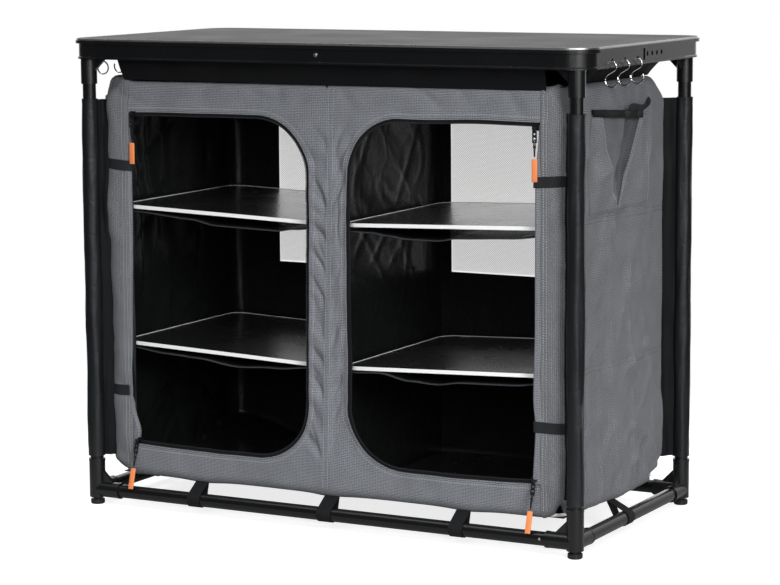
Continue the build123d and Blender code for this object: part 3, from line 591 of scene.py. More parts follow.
def cloth(name, rows, coords, materials, thick=CLOTH, facing=None, holes=None, loop=False,
          levels=0, probe=None):
    """rows: a grid of points; coords: the same grid of (u, v); facing: where the outside faces."""
    count_v, count_u = len(rows), len(rows[0])
    faces = []
    for i in range(count_v - 1):
        for j in range(count_u if loop else count_u - 1):
            if holes is not None and holes(i, j):
                continue
            k = (j + 1) % count_u
            faces.append((i * count_u + j, i * count_u + k, (i + 1) * count_u + k, (i + 1) * count_u + j))
    obj = new_object(name, [p for row in rows for p in row], faces, materials)
    mesh = obj.data
    if facing is not None:
        total = Vector((0, 0, 0))
        for polygon in (mesh.polygons if probe is None else [mesh.polygons[probe]]):
            total += polygon.normal * polygon.area
        if total.dot(Vector(facing)) < 0:
            mesh.flip_normals()
    flat = [c for row in coords for c in row]
    layer = mesh.uv_layers.new(name="UVMap")
    for index, entry in enumerate(mesh.loops):
        layer.data[index].uv = flat[entry.vertex_index]
    if thick:
        shell = obj.modifiers.new("thickness", "SOLIDIFY")
        shell.thickness = thick
        shell.offset = -1.0
        shell.use_even_offset = False
        shell.material_offset = 1 if len(materials) > 1 else 0
        shell.material_offset_rim = 0
    if levels:
        soft = obj.modifiers.new("soft", "SUBSURF")
        soft.levels = soft.render_levels = levels
    finish_mesh(obj)
    return obj


def spaced(first, last, step):
    """Evenly spaced numbers from first to last, about one step apart."""
    count = max(2, int(round(abs(last - first) / step)) + 1)
    return [first + (last - first) * k / (count - 1) for k in range(count)]


def eased(table, t):
    """Soft steps between measured stations."""
    for (a, first), (b, second) in zip(table, table[1:]):
        if t <= b:
            return first + (second - first) * smooth((t - a) / (b - a))
    return table[-1][1]


def declare(obj, replaced=()):
    """Attaches a piece to the cupboard's body and hides the CAD nodes it stands for."""
    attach(obj, "cupboard")
    if replaced:
        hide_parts(*replaced)


HANDS = {"right": 1, "left": -1}
print("cloth helper ready")

# %% [markdown]
# The front has one half panel for each door. Its opening is a D: round at the middle of the
# cupboard and square at the outer side. The mesh runs in rings from the opening out to the
# panel's edges, so its lines follow the sewn edge.

# %% Front panels


def opening_line(inset, step=0.006):
    """Points (x, z) along the D, from the outer top to the outer bottom, set into the opening."""
    x0, x1 = OPEN_X[0] + inset, OPEN_X[1]
    z0, z1 = OPEN_Z[0] + inset, OPEN_Z[1] - inset
    r = OPEN_R - inset
    line = [(x, z1) for x in spaced(x1, x0 + r, step)]
    arc = int(OPEN_R * math.pi / 2 / step)
    line += [(x0 + r - r * math.sin(a), z1 - r + r * math.cos(a))
             for a in (math.pi / 2 * k / arc for k in range(1, arc + 1))]
    line += [(x0, z) for z in spaced(z1 - r, z0 + r, step)[1:]]
    line += [(x0 + r - r * math.cos(a), z0 + r - r * math.sin(a))
             for a in (math.pi / 2 * k / arc for k in range(1, arc + 1))]
    line += [(x, z0) for x in spaced(x0 + r, x1, step)[1:]]
    return line


def outer_line(line, top, low):
    """For each point of the D, the point of the panel's edge that it runs out to."""
    x0, r = OPEN_X[0], OPEN_R
    z0, z1 = OPEN_Z
    made = []
    for x, z in line:
        if z >= z1 - 1e-6:
            made.append((x, top))
        elif z <= z0 + 1e-6:
            made.append((x, low))
        elif z > z1 - r:
            angle = math.atan2(x0 + r - x, z - (z1 - r)) / (math.pi / 2)
            run = angle * ((x0 + r) + top - (z1 - r))
            made.append((x0 + r - run, top) if run < x0 + r else (0.0, top - (run - x0 - r)))
        elif z < z0 + r:
            angle = math.atan2(z0 + r - z, x0 + r - x) / (math.pi / 2)
            run = angle * ((x0 + r) + (z0 + r) - low)
            fall = z0 + r - low
            made.append((0.0, z0 + r - run) if run < fall else (run - fall, low))
        else:
            made.append((0.0, z))
    return made


def sway(x, z, side):
    """How far the sewn edge of the opening strays from the pattern's line."""
    seed = 2.0 if side > 0 else 9.0
    dx = 0.0022 * noise.noise(Vector((seed, x * 7, z * 9)))
    dz = 0.0022 * noise.noise(Vector((x * 9, seed, z * 7)))
    dz -= 0.004 * math.sin(math.pi * min(1.0, x / SEAM_X)) * smooth((0.30 - z) / 0.15)
    return dx, dz


def lean(x, z, side):
    """The middle of the front leans: its top is to the right and its foot to the left."""
    amount = 0.0275 * (z - 0.385)
    weight = smooth(1 - x / 0.060)
    if side > 0:
        amount -= 0.0045 * smooth((x - 0.010) / 0.02)
    return side * amount * weight


def front_point(x, z, side, out=0.0):
    dx, dz = sway(x, z, side)
    hold = min(1.0, x / 0.03) * min(1.0, max(0.0, (SEAM_X - x) / 0.03))
    edge = min(1.0, max(0.0, (TOP - 0.02 - z) / 0.03)) * min(1.0, max(0.0, (z - LOW - 0.02) / 0.03))
    slope = (0.0043 if side > 0 else -0.0030) * (x / SEAM_X) ** 1.3 * smooth((z - 0.45) / 0.2)
    place = skin(x + dx * hold * edge, z + (dz + slope) * edge, side, out)
    place.x += side * lean(x, z, side)
    return place


line = opening_line(0.0, 0.004)
outer = outer_line(line, TOP + 0.010, LOW - 0.010)
steps = [0, 0.015, 0.04, 0.09] + [0.09 + 0.91 * k / 18 for k in range(1, 19)]
# the cloth left round the opening, and never under 31 % of the uncut panel
for hand, side in HANDS.items():
    rows, coords = [], []
    for t in steps:
        flat = [(a[0] + (b[0] - a[0]) * t, a[1] + (b[1] - a[1]) * t) for a, b in zip(line, outer)]
        rows.append([front_point(x, z, side) for x, z in flat])
        coords.append([(side * x, z) for x, z in flat])
    panel = cloth(f"front_{hand}_cloth", rows, coords, [front_cloth, black_cloth], facing=(0, -1, 0))
    declare(panel, [f"front_{hand}_panel"])
    print(panel.name, len(panel.data.polygons), "faces")

# %% [markdown]
# Each side panel starts at the front seam, wraps round the front corner, runs along the side and
# ends at the back seam. Its inner side is the coated lining.

# %% Side panels
for hand, side in HANDS.items():
    around = spaced(SEAM_X, FRONT_RUN, 0.0030) + spaced(FRONT_RUN, FRONT_RUN + QUARTER, 0.0025)[1:]
    around += spaced(around[-1], around[-1] + SIDE_RUN, 0.007)[1:]
    around += spaced(around[-1], ROUND_TO_BACK, 0.006)[1:]
    rows, coords = [], []
    for k in range(140):
        t = k / 139
        rows.append([skin(g, low_of(g, side) - 0.010 + (top_of(g, side) - low_of(g, side) + 0.020) * t, side,
                          0.0014 * smooth((0.396 - g) / 0.003)) for g in around])
        coords.append([(side * g, 0.044 + 0.718 * t) for g in around])
    panel = cloth(f"{hand}_side_cloth", rows, coords, [side_cloth, black_cloth], facing=(side, -0.2, 0))
    declare(panel, [f"{hand}_side_panel"])
    print(panel.name, len(panel.data.polygons), "faces")

# %% [markdown]
# The back panel has a large window of knitted mesh behind each upper shelf.
# The roof, floor and centre partition close the body. All of these are plain black cloth.

# %% Back, roof, floor and partition
WINDOW_X = (0.020, 0.336)
WINDOW_Z = (0.386, 0.704)
BACK_X = BODY_X - EDGE_R


def back_point(x, z, out=0.0):
    """A point of the back; x runs over both halves. Below the windows its rows follow the lower edge."""
    side = 1 if x >= 0 else -1
    g = ROUND_TO_BACK + BACK_X - abs(x)
    if z < WINDOW_Z[0]:
        foot = low_of(ROUND_TO_BACK) - 0.008
        share = (WINDOW_Z[0] - z) / (WINDOW_Z[0] - foot)
        z = WINDOW_Z[0] - share * (WINDOW_Z[0] - low_of(g) + 0.008)
    return skin(g, z, side, out)


half = sorted(set(spaced(0, WINDOW_X[0], 0.007) + spaced(WINDOW_X[0], WINDOW_X[1], 0.0085)
                  + spaced(WINDOW_X[1], BACK_X, 0.008)))
across = [-x for x in reversed(half[1:])] + half
up = sorted(set(spaced(low_of(ROUND_TO_BACK) - 0.008, WINDOW_Z[0], 0.009) + spaced(*WINDOW_Z, 0.009)
                + spaced(WINDOW_Z[1], top_of(ROUND_TO_BACK) + 0.012, 0.004)))


def in_window(i, j):
    x = (across[j] + across[j + 1]) / 2
    z = (up[i] + up[i + 1]) / 2
    return WINDOW_X[0] < abs(x) < WINDOW_X[1] and WINDOW_Z[0] < z < WINDOW_Z[1]


rows = [[back_point(x, z) for x in across] for z in up]
coords = [[(x, z) for x in across] for z in up]
back = cloth("back_cloth", rows, coords, [side_cloth, black_cloth], facing=(0, 1, 0), holes=in_window)
declare(back, ["back_panel"])


def flat_sheet(name, xs, ys, place, facing, replaced, material=black_cloth):
    rows = [[place(x, y) for x in xs] for y in ys]
    made = cloth(name, rows, [[(x, y) for x in xs] for y in ys], [material, black_cloth], facing=facing)
    declare(made, replaced)
    return made


def roof_place(x, y):
    drop = rear_drop(y * 0.209 / 0.200)
    sag = 0.005 * (1 - (x / 0.43) ** 2) * (1 - (y / 0.21) ** 2)
    drop += front_droop(x, y)
    return Vector((x, y, TOP - 0.0012 - drop - sag + 0.0015 * noise.noise(Vector((x * 9, y * 9, 1.0)))))


def floor_place(x, y):
    return Vector((x, y, LOW + 0.0002 + rear_lift(x * 0.436 / 0.424, y * 0.209 / 0.198)))


def wall_place(y, z):
    edge = max(0.0, 1 - (y / 0.205) ** 6) * max(0.0, 1 - ((z - 0.403) / 0.347) ** 6)
    broad = noise.noise(Vector((3.0, y * 7, z * 5))) * 0.0030
    leaning = drag(y, z, 8.0, 0.5, 9, 12) * 0.0018
    crease = 0.0016 * crumple(y, z, 2.0, -0.6, 5, 11, 9)
    crease += 0.0012 * crumple(y, z, 5.0, 0.7, 7, 12, 12)
    return Vector(((broad + leaning - crease) * edge, y, z))


roof = flat_sheet("roof_cloth", spaced(-0.424, 0.424, 0.014), spaced(-0.198, 0.200, 0.012), roof_place,
                  (0, 0, 1), ["roof_panel"], outer_black)
floor_sheet = flat_sheet("floor_cloth", spaced(-0.424, 0.424, 0.014), spaced(-0.192, 0.198, 0.012),
                         floor_place, (0, 0, -1), ["floor_panel"], outer_black)
partition = flat_sheet("partition_cloth", spaced(-0.2055, 0.2055, 0.006), spaced(0.057, 0.748, 0.006),
                       wall_place, (1, 0, 0), ["centre_partition"])
print("back, roof, floor and partition made")

# %% [markdown]
# The window mesh is a knitted net. Its holes run in slanting rows about 2.6 mm apart on the real
# net. Here each hole is modelled, 4 mm apart, so that one window stays a light mesh.

# %% Mesh windows
PITCH = 0.0042
HOLE = 0.73


def window_net(name, side):
    """A net of square holes set on the slant, each hole a ring of four quads."""
    points, faces, index = [], [], {}

    def corner(x, z):
        key = (round(x * 1e5), round(z * 1e5))
        if key not in index:
            index[key] = len(points)
            points.append(back_point(side * x, z, -0.0006))
        return index[key]

    x0, x1 = WINDOW_X
    z0, z1 = WINDOW_Z
    columns = int((x1 - x0) / PITCH)
    lines = int((z1 - z0) / (PITCH / 2))
    wide, high = (x1 - x0) / columns, (z1 - z0) / lines
    for i in range(lines):
        for j in range(columns + 1):
            middle_x = x0 + wide * (j + (0.5 if i % 2 else 0.0))
            middle_z = z0 + high * i + high / 2
            if middle_x - wide / 2 < x0 - 1e-6 or middle_x + wide / 2 > x1 + 1e-6:
                continue
            if middle_z + high > z1 + 1e-6 or middle_z - high < z0 - 1e-6:
                continue
            rim = [(middle_x - wide / 2, middle_z), (middle_x, middle_z - high),
                   (middle_x + wide / 2, middle_z), (middle_x, middle_z + high)]
            hole = [(middle_x + (a - middle_x) * HOLE, middle_z + (b - middle_z) * HOLE) for a, b in rim]
            outside = [corner(*p) for p in rim]
            inside = [corner(*p) for p in hole]
            for k in range(4):
                n = (k + 1) % 4
                faces.append((outside[k], outside[n], inside[n], inside[k]))
    net = new_object(name, points, faces, [net_yarn])
    if sum(p.normal.y for p in net.data.polygons) < 0:
        net.data.flip_normals()
    return net


for hand, side in HANDS.items():
    net = window_net(f"{hand}_window_net", side)
    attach(net, "cupboard")
    if side > 0:
        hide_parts("mesh_windows")
    print(net.name, len(net.data.polygons), "faces")

# %% [markdown]
# ## Shelves
# Each shelf board lies in a sling of lining cloth that sags under it. The sling is sewn to the
# partition and to the side, and its front edge has a narrow hem.

# %% Shelf slings
SHELF_Z = {"upper": (0.511, 0.524), "lower": (0.270, 0.285)}
# how deep each sling hangs under its chord, from the partition (0) to the side (1)
SAG = {"upper_right": ((0, 0.004), (0.05, 0.007), (0.17, 0.009), (0.22, 0.013), (0.33, 0.0185),
                       (0.45, 0.020), (0.53, 0.0155), (0.76, 0.0135), (0.92, 0.008), (1, 0.004)),
       "upper_left": ((0, 0.002), (0.04, 0.0035), (0.17, 0.0105), (0.25, 0.016), (0.53, 0.0165),
                      (0.65, 0.0095), (0.90, 0.004), (1, 0.002)),
       "lower_left": ((0, 0.001), (0.09, 0.003), (0.27, 0.011), (0.45, 0.0165), (0.62, 0.0100),
                      (0.78, 0.0085), (0.94, 0.003), (1, 0.001)),
       "lower_right": ((0, 0.002), (0.06, 0.004), (0.19, 0.003), (0.33, 0.0145), (0.44, 0.018),
                       (0.55, 0.0135), (0.76, 0.0135), (0.92, 0.008), (1, 0.003))}

sling_parts = []
for hand, side in HANDS.items():
    for level, (inner_z, outer_z) in SHELF_Z.items():
        seed = 5.0 * side + inner_z * 10
        table = SAG[f"{level}_{hand}"]

        def sling(x, y, drop=0.0):
            t = (x - 0.0015) / 0.431
            chord = inner_z - 0.0012 + (outer_z - inner_z - 0.0003) * t
            wave = 0.0022 * noise.noise(Vector((x * 10 + seed, y * 12, 1.0))) * 4 * t * (1 - t)
            sag = eased(table, t) + abs(wave) * smooth((y + 0.19) / 0.05)
            return Vector((side * x, y, chord - sag - drop))

        xs = spaced(0.0015, 0.4325, 0.008)
        ys = [-0.188] + spaced(-0.186, 0.186, 0.012)
        rows = [[sling(x, -0.1868, 0.0030) for x in xs], [sling(x, -0.1886, 0.0028) for x in xs],
                [sling(x, -0.1893, 0.0012) for x in xs]] + [[sling(x, y) for x in xs] for y in ys]
        coords = [[(x, -0.19 + 0.002 * k) for x in xs] for k in range(3)] + [[(x, y) for x in xs] for y in ys]
        made = cloth(f"{level}_{hand}_sling", rows, coords, [black_cloth, black_cloth], thick=0.0009,
                     facing=(0, 0, 1))
        sling_parts.append(made)
        # the hem's grey colour is a painted highlight along the sling's lit front edge
        hem_rows = [[sling(x, y, d) for x in xs] for y, d in
                    ((-0.1888, 0.0030), (-0.1898, 0.0028), (-0.1902, 0.0020), (-0.1897, 0.0012))]
        hem = cloth(f"{level}_{hand}_sling_hem", hem_rows, [[(x, k * 0.001) for x in xs] for k in range(4)],
                    [hem_highlight_tape, hem_highlight_tape], thick=0.0004, facing=(0, -1, 0))
        declare(hem)
        declare(made, ["shelf_slings"] if len(sling_parts) == 1 else ())
print("slings:", [p.name for p in sling_parts])

# %% [markdown]
# A folded foil trim runs round each shelf board and stands a little above its face.
# It starts as a cube. Its ends are taken off, its corners rounded and its walls thickened inwards.

# %% Shelf board trims


def board_trim(name):
    """A thin ring round a board that lies flat about the origin."""
    bpy.ops.object.select_all(action="DESELECT")
    bpy.ops.mesh.primitive_cube_add(size=1.0, location=(0, 0, 0))
    ring = bpy.context.active_object
    ring.name = ring.data.name = name
    bpy.ops.object.mode_set(mode="EDIT")
    bpy.ops.mesh.select_mode(type="FACE")
    bpy.ops.mesh.select_all(action="DESELECT")
    bpy.ops.object.mode_set(mode="OBJECT")
    for polygon in ring.data.polygons:
        polygon.select = abs(polygon.normal.z) > 0.9
    bpy.ops.object.mode_set(mode="EDIT")
    bpy.ops.mesh.delete(type="ONLY_FACE")
    bpy.ops.mesh.select_all(action="SELECT")
    bpy.ops.transform.resize(value=(0.4116, 0.3764, 0.0062))
    bpy.ops.mesh.bevel(offset=0.028, segments=8)
    bpy.ops.object.mode_set(mode="OBJECT")
    wall = ring.modifiers.new("wall", "SOLIDIFY")
    wall.thickness = 0.0012
    wall.offset = -1.0
    finish_mesh(ring)
    ring.data.materials.append(foil)
    return ring


for hand, side in HANDS.items():
    for level, (inner_z, outer_z) in SHELF_Z.items():
        trim = board_trim(f"{level}_{hand}_board_trim")
        slope = side * math.atan2(outer_z - inner_z, 0.411)
        trim.data.transform(Matrix.Translation((side * 0.2195, 0.002, (inner_z + outer_z) / 2))
                            @ Matrix.Rotation(-slope, 4, "Y"))
        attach(trim, "cupboard")
print("trims:", len(trim.data.polygons), "faces each")

# %% [markdown]
# ## Between the frame and the body
# Four flaps hang the body from the rails, a sleeve runs round each leg and is sewn to the
# body's corner, and webbing loops tie the body's lower edge to the bottom tubes.

# %% Valance flaps
RAIL_UNDER = 0.805


def flap(name, upper, lower, outward, span, waves, steps):
    """A flap hung between two straight lines, each given by its ends. Its ripples stand outward."""
    start, end = span
    upper, lower = [Vector(p) for p in upper], [Vector(p) for p in lower]
    rows, coords = [], []
    for i in range(9):
        v = i / 8
        row, flat = [], []
        for j in range(steps + 1):
            u = j / steps
            place = upper[0].lerp(upper[1], u).lerp(lower[0].lerp(lower[1], u), v)
            ripple = waves * math.sin(math.pi * v) * noise.noise(Vector((u * 14 + start, v * 1.5, end)))
            row.append(place + Vector(outward) * ripple)
            flat.append((u * (end - start), v * 0.06))
        rows.append(row)
        coords.append(flat)
    return cloth(name, rows, coords, [outer_black, black_cloth], facing=outward)


for label, fore, low_y, low_z, fall in (("front", -1, 0.2075, 0.7445, 0.060),
                                        ("rear", 1, 0.150, 0.7455, 0.083)):
    piece = flap(f"{label}_valance", [(x, fore * 0.2325, RAIL_UNDER) for x in (-0.405, 0.405)],
                 [(x, fore * low_y, low_z) for x in (-0.398, 0.398)], (0, fore, 0), (-0.40, 0.40), 0.006, 80)
    declare(piece, ["valance_panels"] if fore < 0 else ())
for hand, side in HANDS.items():
    piece = flap(f"{hand}_valance", [(side * 0.4725, y, RAIL_UNDER) for y in (-0.160, 0.140)],
                 [(side * 0.4275, y, 0.7525) for y in (-0.141, 0.136)], (side, 0, 0), (-0.141, 0.120),
                 0.004, 30)
    declare(piece, ())
print("valance made")

# %% [markdown]
# Each leg wears a loose sleeve of smooth black cloth with a hem at both ends. A flap of the same
# make joins it to the body's corner. Both are rings or rows of points moved by smooth noise.

# %% Leg sleeves
LEG_X, LEG_Y = 0.459, 0.225
SLEEVE_Z = (0.086, 0.711)
SLEEVE_R = 0.0128
FLAP_R = 0.0125
RING = 28


def sleeve_rows(leg, seed):
    """Rings of points round a leg, and their flat places."""
    rows, coords = [], []
    for z in spaced(*SLEEVE_Z, 0.010):
        hem = 0.0006 * (bell(z, SLEEVE_Z[0] + 0.008, 0.003) + bell(z, SLEEVE_Z[1] - 0.008, 0.003))
        row, flat = [], []
        for k in range(RING):
            a = 2 * math.pi * k / RING
            c, s = math.cos(a), math.sin(a)
            loose = 0.0015 + 0.0017 * noise.noise(Vector((c * 1.5, s * 1.5 + seed, z * 9)))
            loose += 0.0009 * noise.noise(Vector((c * 3, s * 3 + seed, z * 24)))
            r = SLEEVE_R + loose - hem
            row.append(leg + Vector((r * c, r * s, z)))
            flat.append((a * 0.014, z))
        rows.append(row)
        coords.append(flat)
    return rows, coords


def web_rows(leg, way, reach, corner_g, side, seed):
    """Rows of points from the body's corner to the sleeve."""
    rows, coords = [], []
    for z in spaced(SLEEVE_Z[0] + 0.001, SLEEVE_Z[1] - 0.001, 0.012):
        sewn = skin(corner_g, min(z, 0.690), side, -0.0015)
        row, flat = [], []
        for k in range(7):
            t = k / 6
            wave = 0.008 * noise.noise(Vector((seed, z * 5, t)))
            wave += 0.003 * noise.noise(Vector((z * 17, seed, t * 2)))
            p = sewn.lerp(leg - way * FLAP_R, t)
            p += Vector((-way.y, way.x, 0)) * (wave * math.sin(math.pi * t))
            row.append(Vector((p.x, p.y, z)))
            flat.append((t * reach, z))
        rows.append(row)
        coords.append(flat)
    return rows, coords


for hand, side in HANDS.items():
    for end, fore in (("front", -1), ("rear", 1)):
        seed = 11.0 * side + 5.0 * fore
        leg = Vector((side * LEG_X, fore * LEG_Y, 0))
        rows, coords = sleeve_rows(leg, seed)
        sleeve = cloth(f"sleeve_{end}_{hand}", rows, coords, [sleeve_cloth, sleeve_cloth], thick=0.0010,
                       loop=True)
        one_face = sleeve.data.polygons[3]
        if one_face.normal.xy.dot(one_face.center.xy - leg.xy) < 0:
            sleeve.data.flip_normals()
        declare(sleeve, ["leg_sleeves"] if end == "front" and side > 0 else ())
        corner_g = FRONT_RUN + QUARTER / 2 if fore < 0 else ROUND_TO_BACK - QUARTER / 2
        corner = Vector((side * (BODY_X - EDGE_R * 0.29), fore * (BODY_Y - EDGE_R * 0.29), 0))
        reach = (leg - corner).length - FLAP_R
        rows, coords = web_rows(leg, (leg - corner).normalized(), reach, corner_g, side, seed)
        web = cloth(f"sleeve_flap_{end}_{hand}", rows, coords, [outer_black, outer_black], thick=0.0014)
        declare(web, ())
print("sleeves made")

# %% [markdown]
# Loops of black webbing hold the body's lower edge down to the bottom tubes, three in front, three
# behind and one on each side. Each is a closed belt: round the tube below, tight over the edge above.

# %% Tube loops
TUBE_Z, TUBE_R = 0.026, 0.0115
EDGE_Z = LOW - 0.0022
FIRST_RIB = 0.0003  # how far the first rib lies from the belt's seam


def belt_path(tube, edge, radius, tight):
    """A teardrop round the tube's middle and the body's edge, as (out, z) points."""
    way = Vector((edge[0] - tube[0], edge[1] - tube[1]))
    base = math.atan2(way.y, way.x)
    lean = math.acos((radius - tight) / way.length)
    path = []
    for k in range(25):
        a = base + lean + (2 * math.pi - 2 * lean) * k / 24
        path.append((tube[0] + radius * math.cos(a), tube[1] + radius * math.sin(a)))
    for k in range(1, 8):
        a = base - lean + 2 * lean * k / 8
        path.append((edge[0] + tight * math.cos(a), edge[1] + tight * math.sin(a)))
    return path + [path[0]]


def tube_loop(name, place, wide, tube, edge):
    """A belt of webbing. place turns (out, z) and the way across to a point."""
    path = belt_path(tube, edge, TUBE_R + 0.0016, 0.0021)
    stations = (0, 0.002, wide / 2, wide - 0.002, wide)
    rows, coords, run = [], [], 0.0
    for q, last in zip(path, path[:1] + path):
        run += math.hypot(q[0] - last[0], q[1] - last[1])
        rows.append([place(q, w - wide / 2) for w in stations])
        coords.append([(w, run + FIRST_RIB) for w in stations])
    made = cloth(name, rows, coords, [webbing, webbing], thick=0.0013)
    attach(made, "cupboard")
    return made


for fore, end in ((-1, "front"), (1, "rear")):
    for place_name, x0, wide in (("left", -0.254, 0.025), ("middle", 0.003, 0.027), ("right", 0.250, 0.025)):
        tube_loop(
            f"tube_loop_{end}_{place_name}",
            lambda q, w, x0=x0, fore=fore: Vector((x0 + w, fore * q[0], q[1])), wide,
            (LEG_Y, TUBE_Z), (BODY_Y - 0.003, EDGE_Z))
for hand, side in HANDS.items():
    tube_loop(
        f"tube_loop_side_{hand}", lambda q, w, side=side: Vector((side * q[0], -0.022 + w, q[1])), 0.024,
        (LEG_X, TUBE_Z), (BODY_X - 0.003, EDGE_Z))
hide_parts("tube_loops")

# %% [markdown]
# ## Doors
# Each door is rolled up outwards and lies behind the outer strip of the front.
# The strip's edge is where the door's cloth folds back, and two straps hold the roll.

# %% Door rolls
ROLL_AT = (0.408, -0.1963)
ROLL_STEPS = 121  # five and a half turns of 22 steps
# (height, distance from the cupboard's middle) of the roll's front edge, from its foot up
FOLD_LINE = {1: ((0.10, 0.3755), (0.205, 0.3800), (0.248, 0.3762), (0.37, 0.3788), (0.587, 0.3790),
                 (0.70, 0.3860)),
             -1: ((0.10, 0.3840), (0.130, 0.3785), (0.175, 0.3900), (0.205, 0.3975), (0.30, 0.3925),
                  (0.51, 0.3885), (0.70, 0.3885))}


def roll_row(z, side, seed):
    """One level line through the rolled door: the folded edge first, then the spiral inwards."""
    cinch = 1 - 0.22 * bell(z, STRAP_Z[0], 0.022) - 0.22 * bell(z, STRAP_Z[1], 0.022)
    swell = 1 + 0.10 * noise.noise(Vector((seed, z * 14, 0)))
    edge = eased(FOLD_LINE[side], z)
    row = [Vector((side * a, b, z)) for a, b in
           ((0.4000, -0.2080), (max(0.3925, edge + 0.006), -0.2104), (edge + 0.0030, -0.2110),
            (edge + 0.0008, -0.2088), (edge, -0.2062), (edge + 0.0006, -0.2030), (edge + 0.0030, -0.2000),
            (max(0.3892, edge + 0.005), -0.1985))]
    for k in range(ROLL_STEPS + 1):
        a = math.pi + 0.35 + 2 * math.pi * k / 22
        shrink = 1 - 0.80 * k / ROLL_STEPS
        ax = (0.0035 + 0.0135 * shrink) * swell
        ay = (0.0006 + 0.0078 * shrink) * (cinch if k else 1)
        wob = 0.0006 * noise.noise(Vector((a * 0.7 + seed, z * 22, k / 22)))
        row.append(Vector((side * (ROLL_AT[0] + (ax + wob) * math.cos(a)),
                           ROLL_AT[1] + (ay + wob * 0.5) * math.sin(a), z)))
    return row


def walked(path):
    """How far along a path of points each point lies."""
    run = [0.0]
    for a, b in zip(path, path[1:]):
        run.append(run[-1] + (b - a).length)
    return run


for hand, side in HANDS.items():
    heights = spaced(OPEN_Z[0] + 0.001, OPEN_Z[1] - 0.001, 0.010)
    rows = [roll_row(z, side, 4.0 * side) for z in heights]
    coords = [[(run, z) for run in walked(row)] for z, row in zip(heights, rows)]
    made = cloth(f"{hand}_door_roll", rows, coords, [front_cloth, black_cloth], thick=0.0007,
                 facing=(0, -1, 0), probe=1)
    run = coords[-1][-1][0]
    declare(made, ["door_rolls"] if side > 0 else ())
print("door rolls:", round(run, 3), "m of cloth in each")

# %% [markdown]
# A hook-and-loop strap is sewn to the outer strip beside each end of a door roll. It runs over the
# strip, turns round the roll's edge and ends behind it. One path is repeated at five heights.

# %% Door straps
for hand, side in HANDS.items():
    for level, middle in zip(("upper", "lower"), STRAP_Z):
        middle -= 0.004 if side < 0 and level == "upper" else 0.001
        tilt = 0.0030 if level == "upper" else -0.001
        rows, coords = [], []
        for dz in (-0.009, -0.0075, 0, 0.0075, 0.009):
            z = middle + dz
            edge = eased(FOLD_LINE[side], z)
            path = [skin(FRONT_RUN + QUARTER * share, z, side, 0.0018) for share in (0.7, 0.45, 0.2, 0)]
            path += [skin(g, z, side, 0.0018) for g in (0.400, 0.393)]
            path += [Vector((side * (edge + a), b, z)) for a, b in
                     ((0.0005, -0.2138), (-0.0022, -0.2108), (-0.0030, -0.2060), (-0.0020, -0.2010),
                      (0.0020, -0.1950))]
            path += [Vector((side * a, b, z)) for a, b in
                     ((0.3945, -0.1890), (0.402, -0.1868), (0.414, -0.1862))]
            for point in path:
                point.z += tilt * (abs(point.x) - 0.41) / 0.05
            rows.append(path)
            coords.append([(0.010 + dz, run) for run in walked(path)])
        made = cloth(f"{level}_{hand}_strap", rows, coords, [napped, napped], thick=0.0013,
                     facing=(0, -1, 0), levels=1)
        declare(made, ["tie_straps"] if side > 0 and level == "upper" else ())
print("straps made")

# %% [markdown]
# ## Zips
# A nylon coil zip runs round each D. The tape is sewn behind the cloth's edge, and the half coil
# stands at the tape's free edge.

# %% Zip tapes and coils
BEHIND = -0.0022  # the zip lies this far behind the front's outer face


def coil_teeth(name, side, line, wide, high, material):
    """One small box-shaped bead for each turn of the coil, about 2.1 mm apart."""
    places = [line[0]]
    for a, b in zip(line, line[1:]):
        steps = max(1, int(round(math.hypot(b[0] - a[0], b[1] - a[1]) / 0.0021)))
        places += [(a[0] + (b[0] - a[0]) * k / steps, a[1] + (b[1] - a[1]) * k / steps)
                   for k in range(1, steps + 1)]
    points, faces = [], []
    for (ax, az), (bx, bz) in zip(places, places[1:]):
        run = Vector((bx - ax, 0, bz - az))
        if run.length < 1e-6:
            continue
        run.normalize()
        along = Vector((side * run.x, 0, run.z)) * 0.00062
        sideways = Vector((-side * run.z, 0, run.x)) * wide
        centre = front_point((ax + bx) / 2, (az + bz) / 2, side, BEHIND)
        a, b, c, d, e, f, g, h = range(len(points), len(points) + 8)
        for s in (-1, 1):
            for up_down in (-1, 1):
                place = centre + sideways * s + Vector((0, high * up_down, 0))
                points += [place - along, place + along]
        faces += [(a, c, d, b), (e, f, h, g), (a, b, f, e), (c, g, h, d), (a, e, g, c), (b, d, h, f)]
    teeth = new_object(name, points, faces, [material])
    face_outwards(teeth)
    return teeth


for hand, side in HANDS.items():
    insets = (-0.0035, 0.0, 0.0025, 0.0052)
    lines = [opening_line(i) for i in insets]
    rows = [[front_point(x, z, side, BEHIND) for x, z in flat] for flat in lines]
    run = [0.0]
    for a, b in zip(lines[1], lines[1][1:]):
        run.append(run[-1] + math.hypot(b[0] - a[0], b[1] - a[1]))
    coords = [[(i, w) for w in run] for i in insets]
    made = cloth(f"{hand}_zip_tape", rows, coords, [zip_cloth, zip_cloth], thick=0.0008, facing=(0, -1, 0))
    declare(made, ["zip_tapes"] if side > 0 else ())
    teeth = coil_teeth(f"{hand}_zip_coil", side, opening_line(0.0056), 0.0011, 0.0009, nylon)
    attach(teeth, "cupboard")
print("zip tape", round(run[-1], 3), "m on each door")

# %% [markdown]
# Zip pulls: a flat plated puller with a slot, a short black cord knotted through it, and a
# moulded orange tag with ribs for the fingers. The cord's route repeats the CAD one in metres.

# %% Zip pulls, cords and tags
SLIDER_X = 0.381
CROWN = {"top": (-0.2141, 0.686), "bottom": (-0.2141, 0.117)}
TILT = {"top": 0.0, "bottom": 16.5}
CORD_ROUTE = [(0.9, -46), (1.2, -40), (2.6, -32), (2.7, -25), (2.5, -18.6), (-2.5, -18.6), (-2.7, -25),
              (-2.6, -32), (-1.2, -40), (-0.9, -46)]
cord_material = ribbed("braided_cord", "#1a1b1d", 1.5, 0.75)


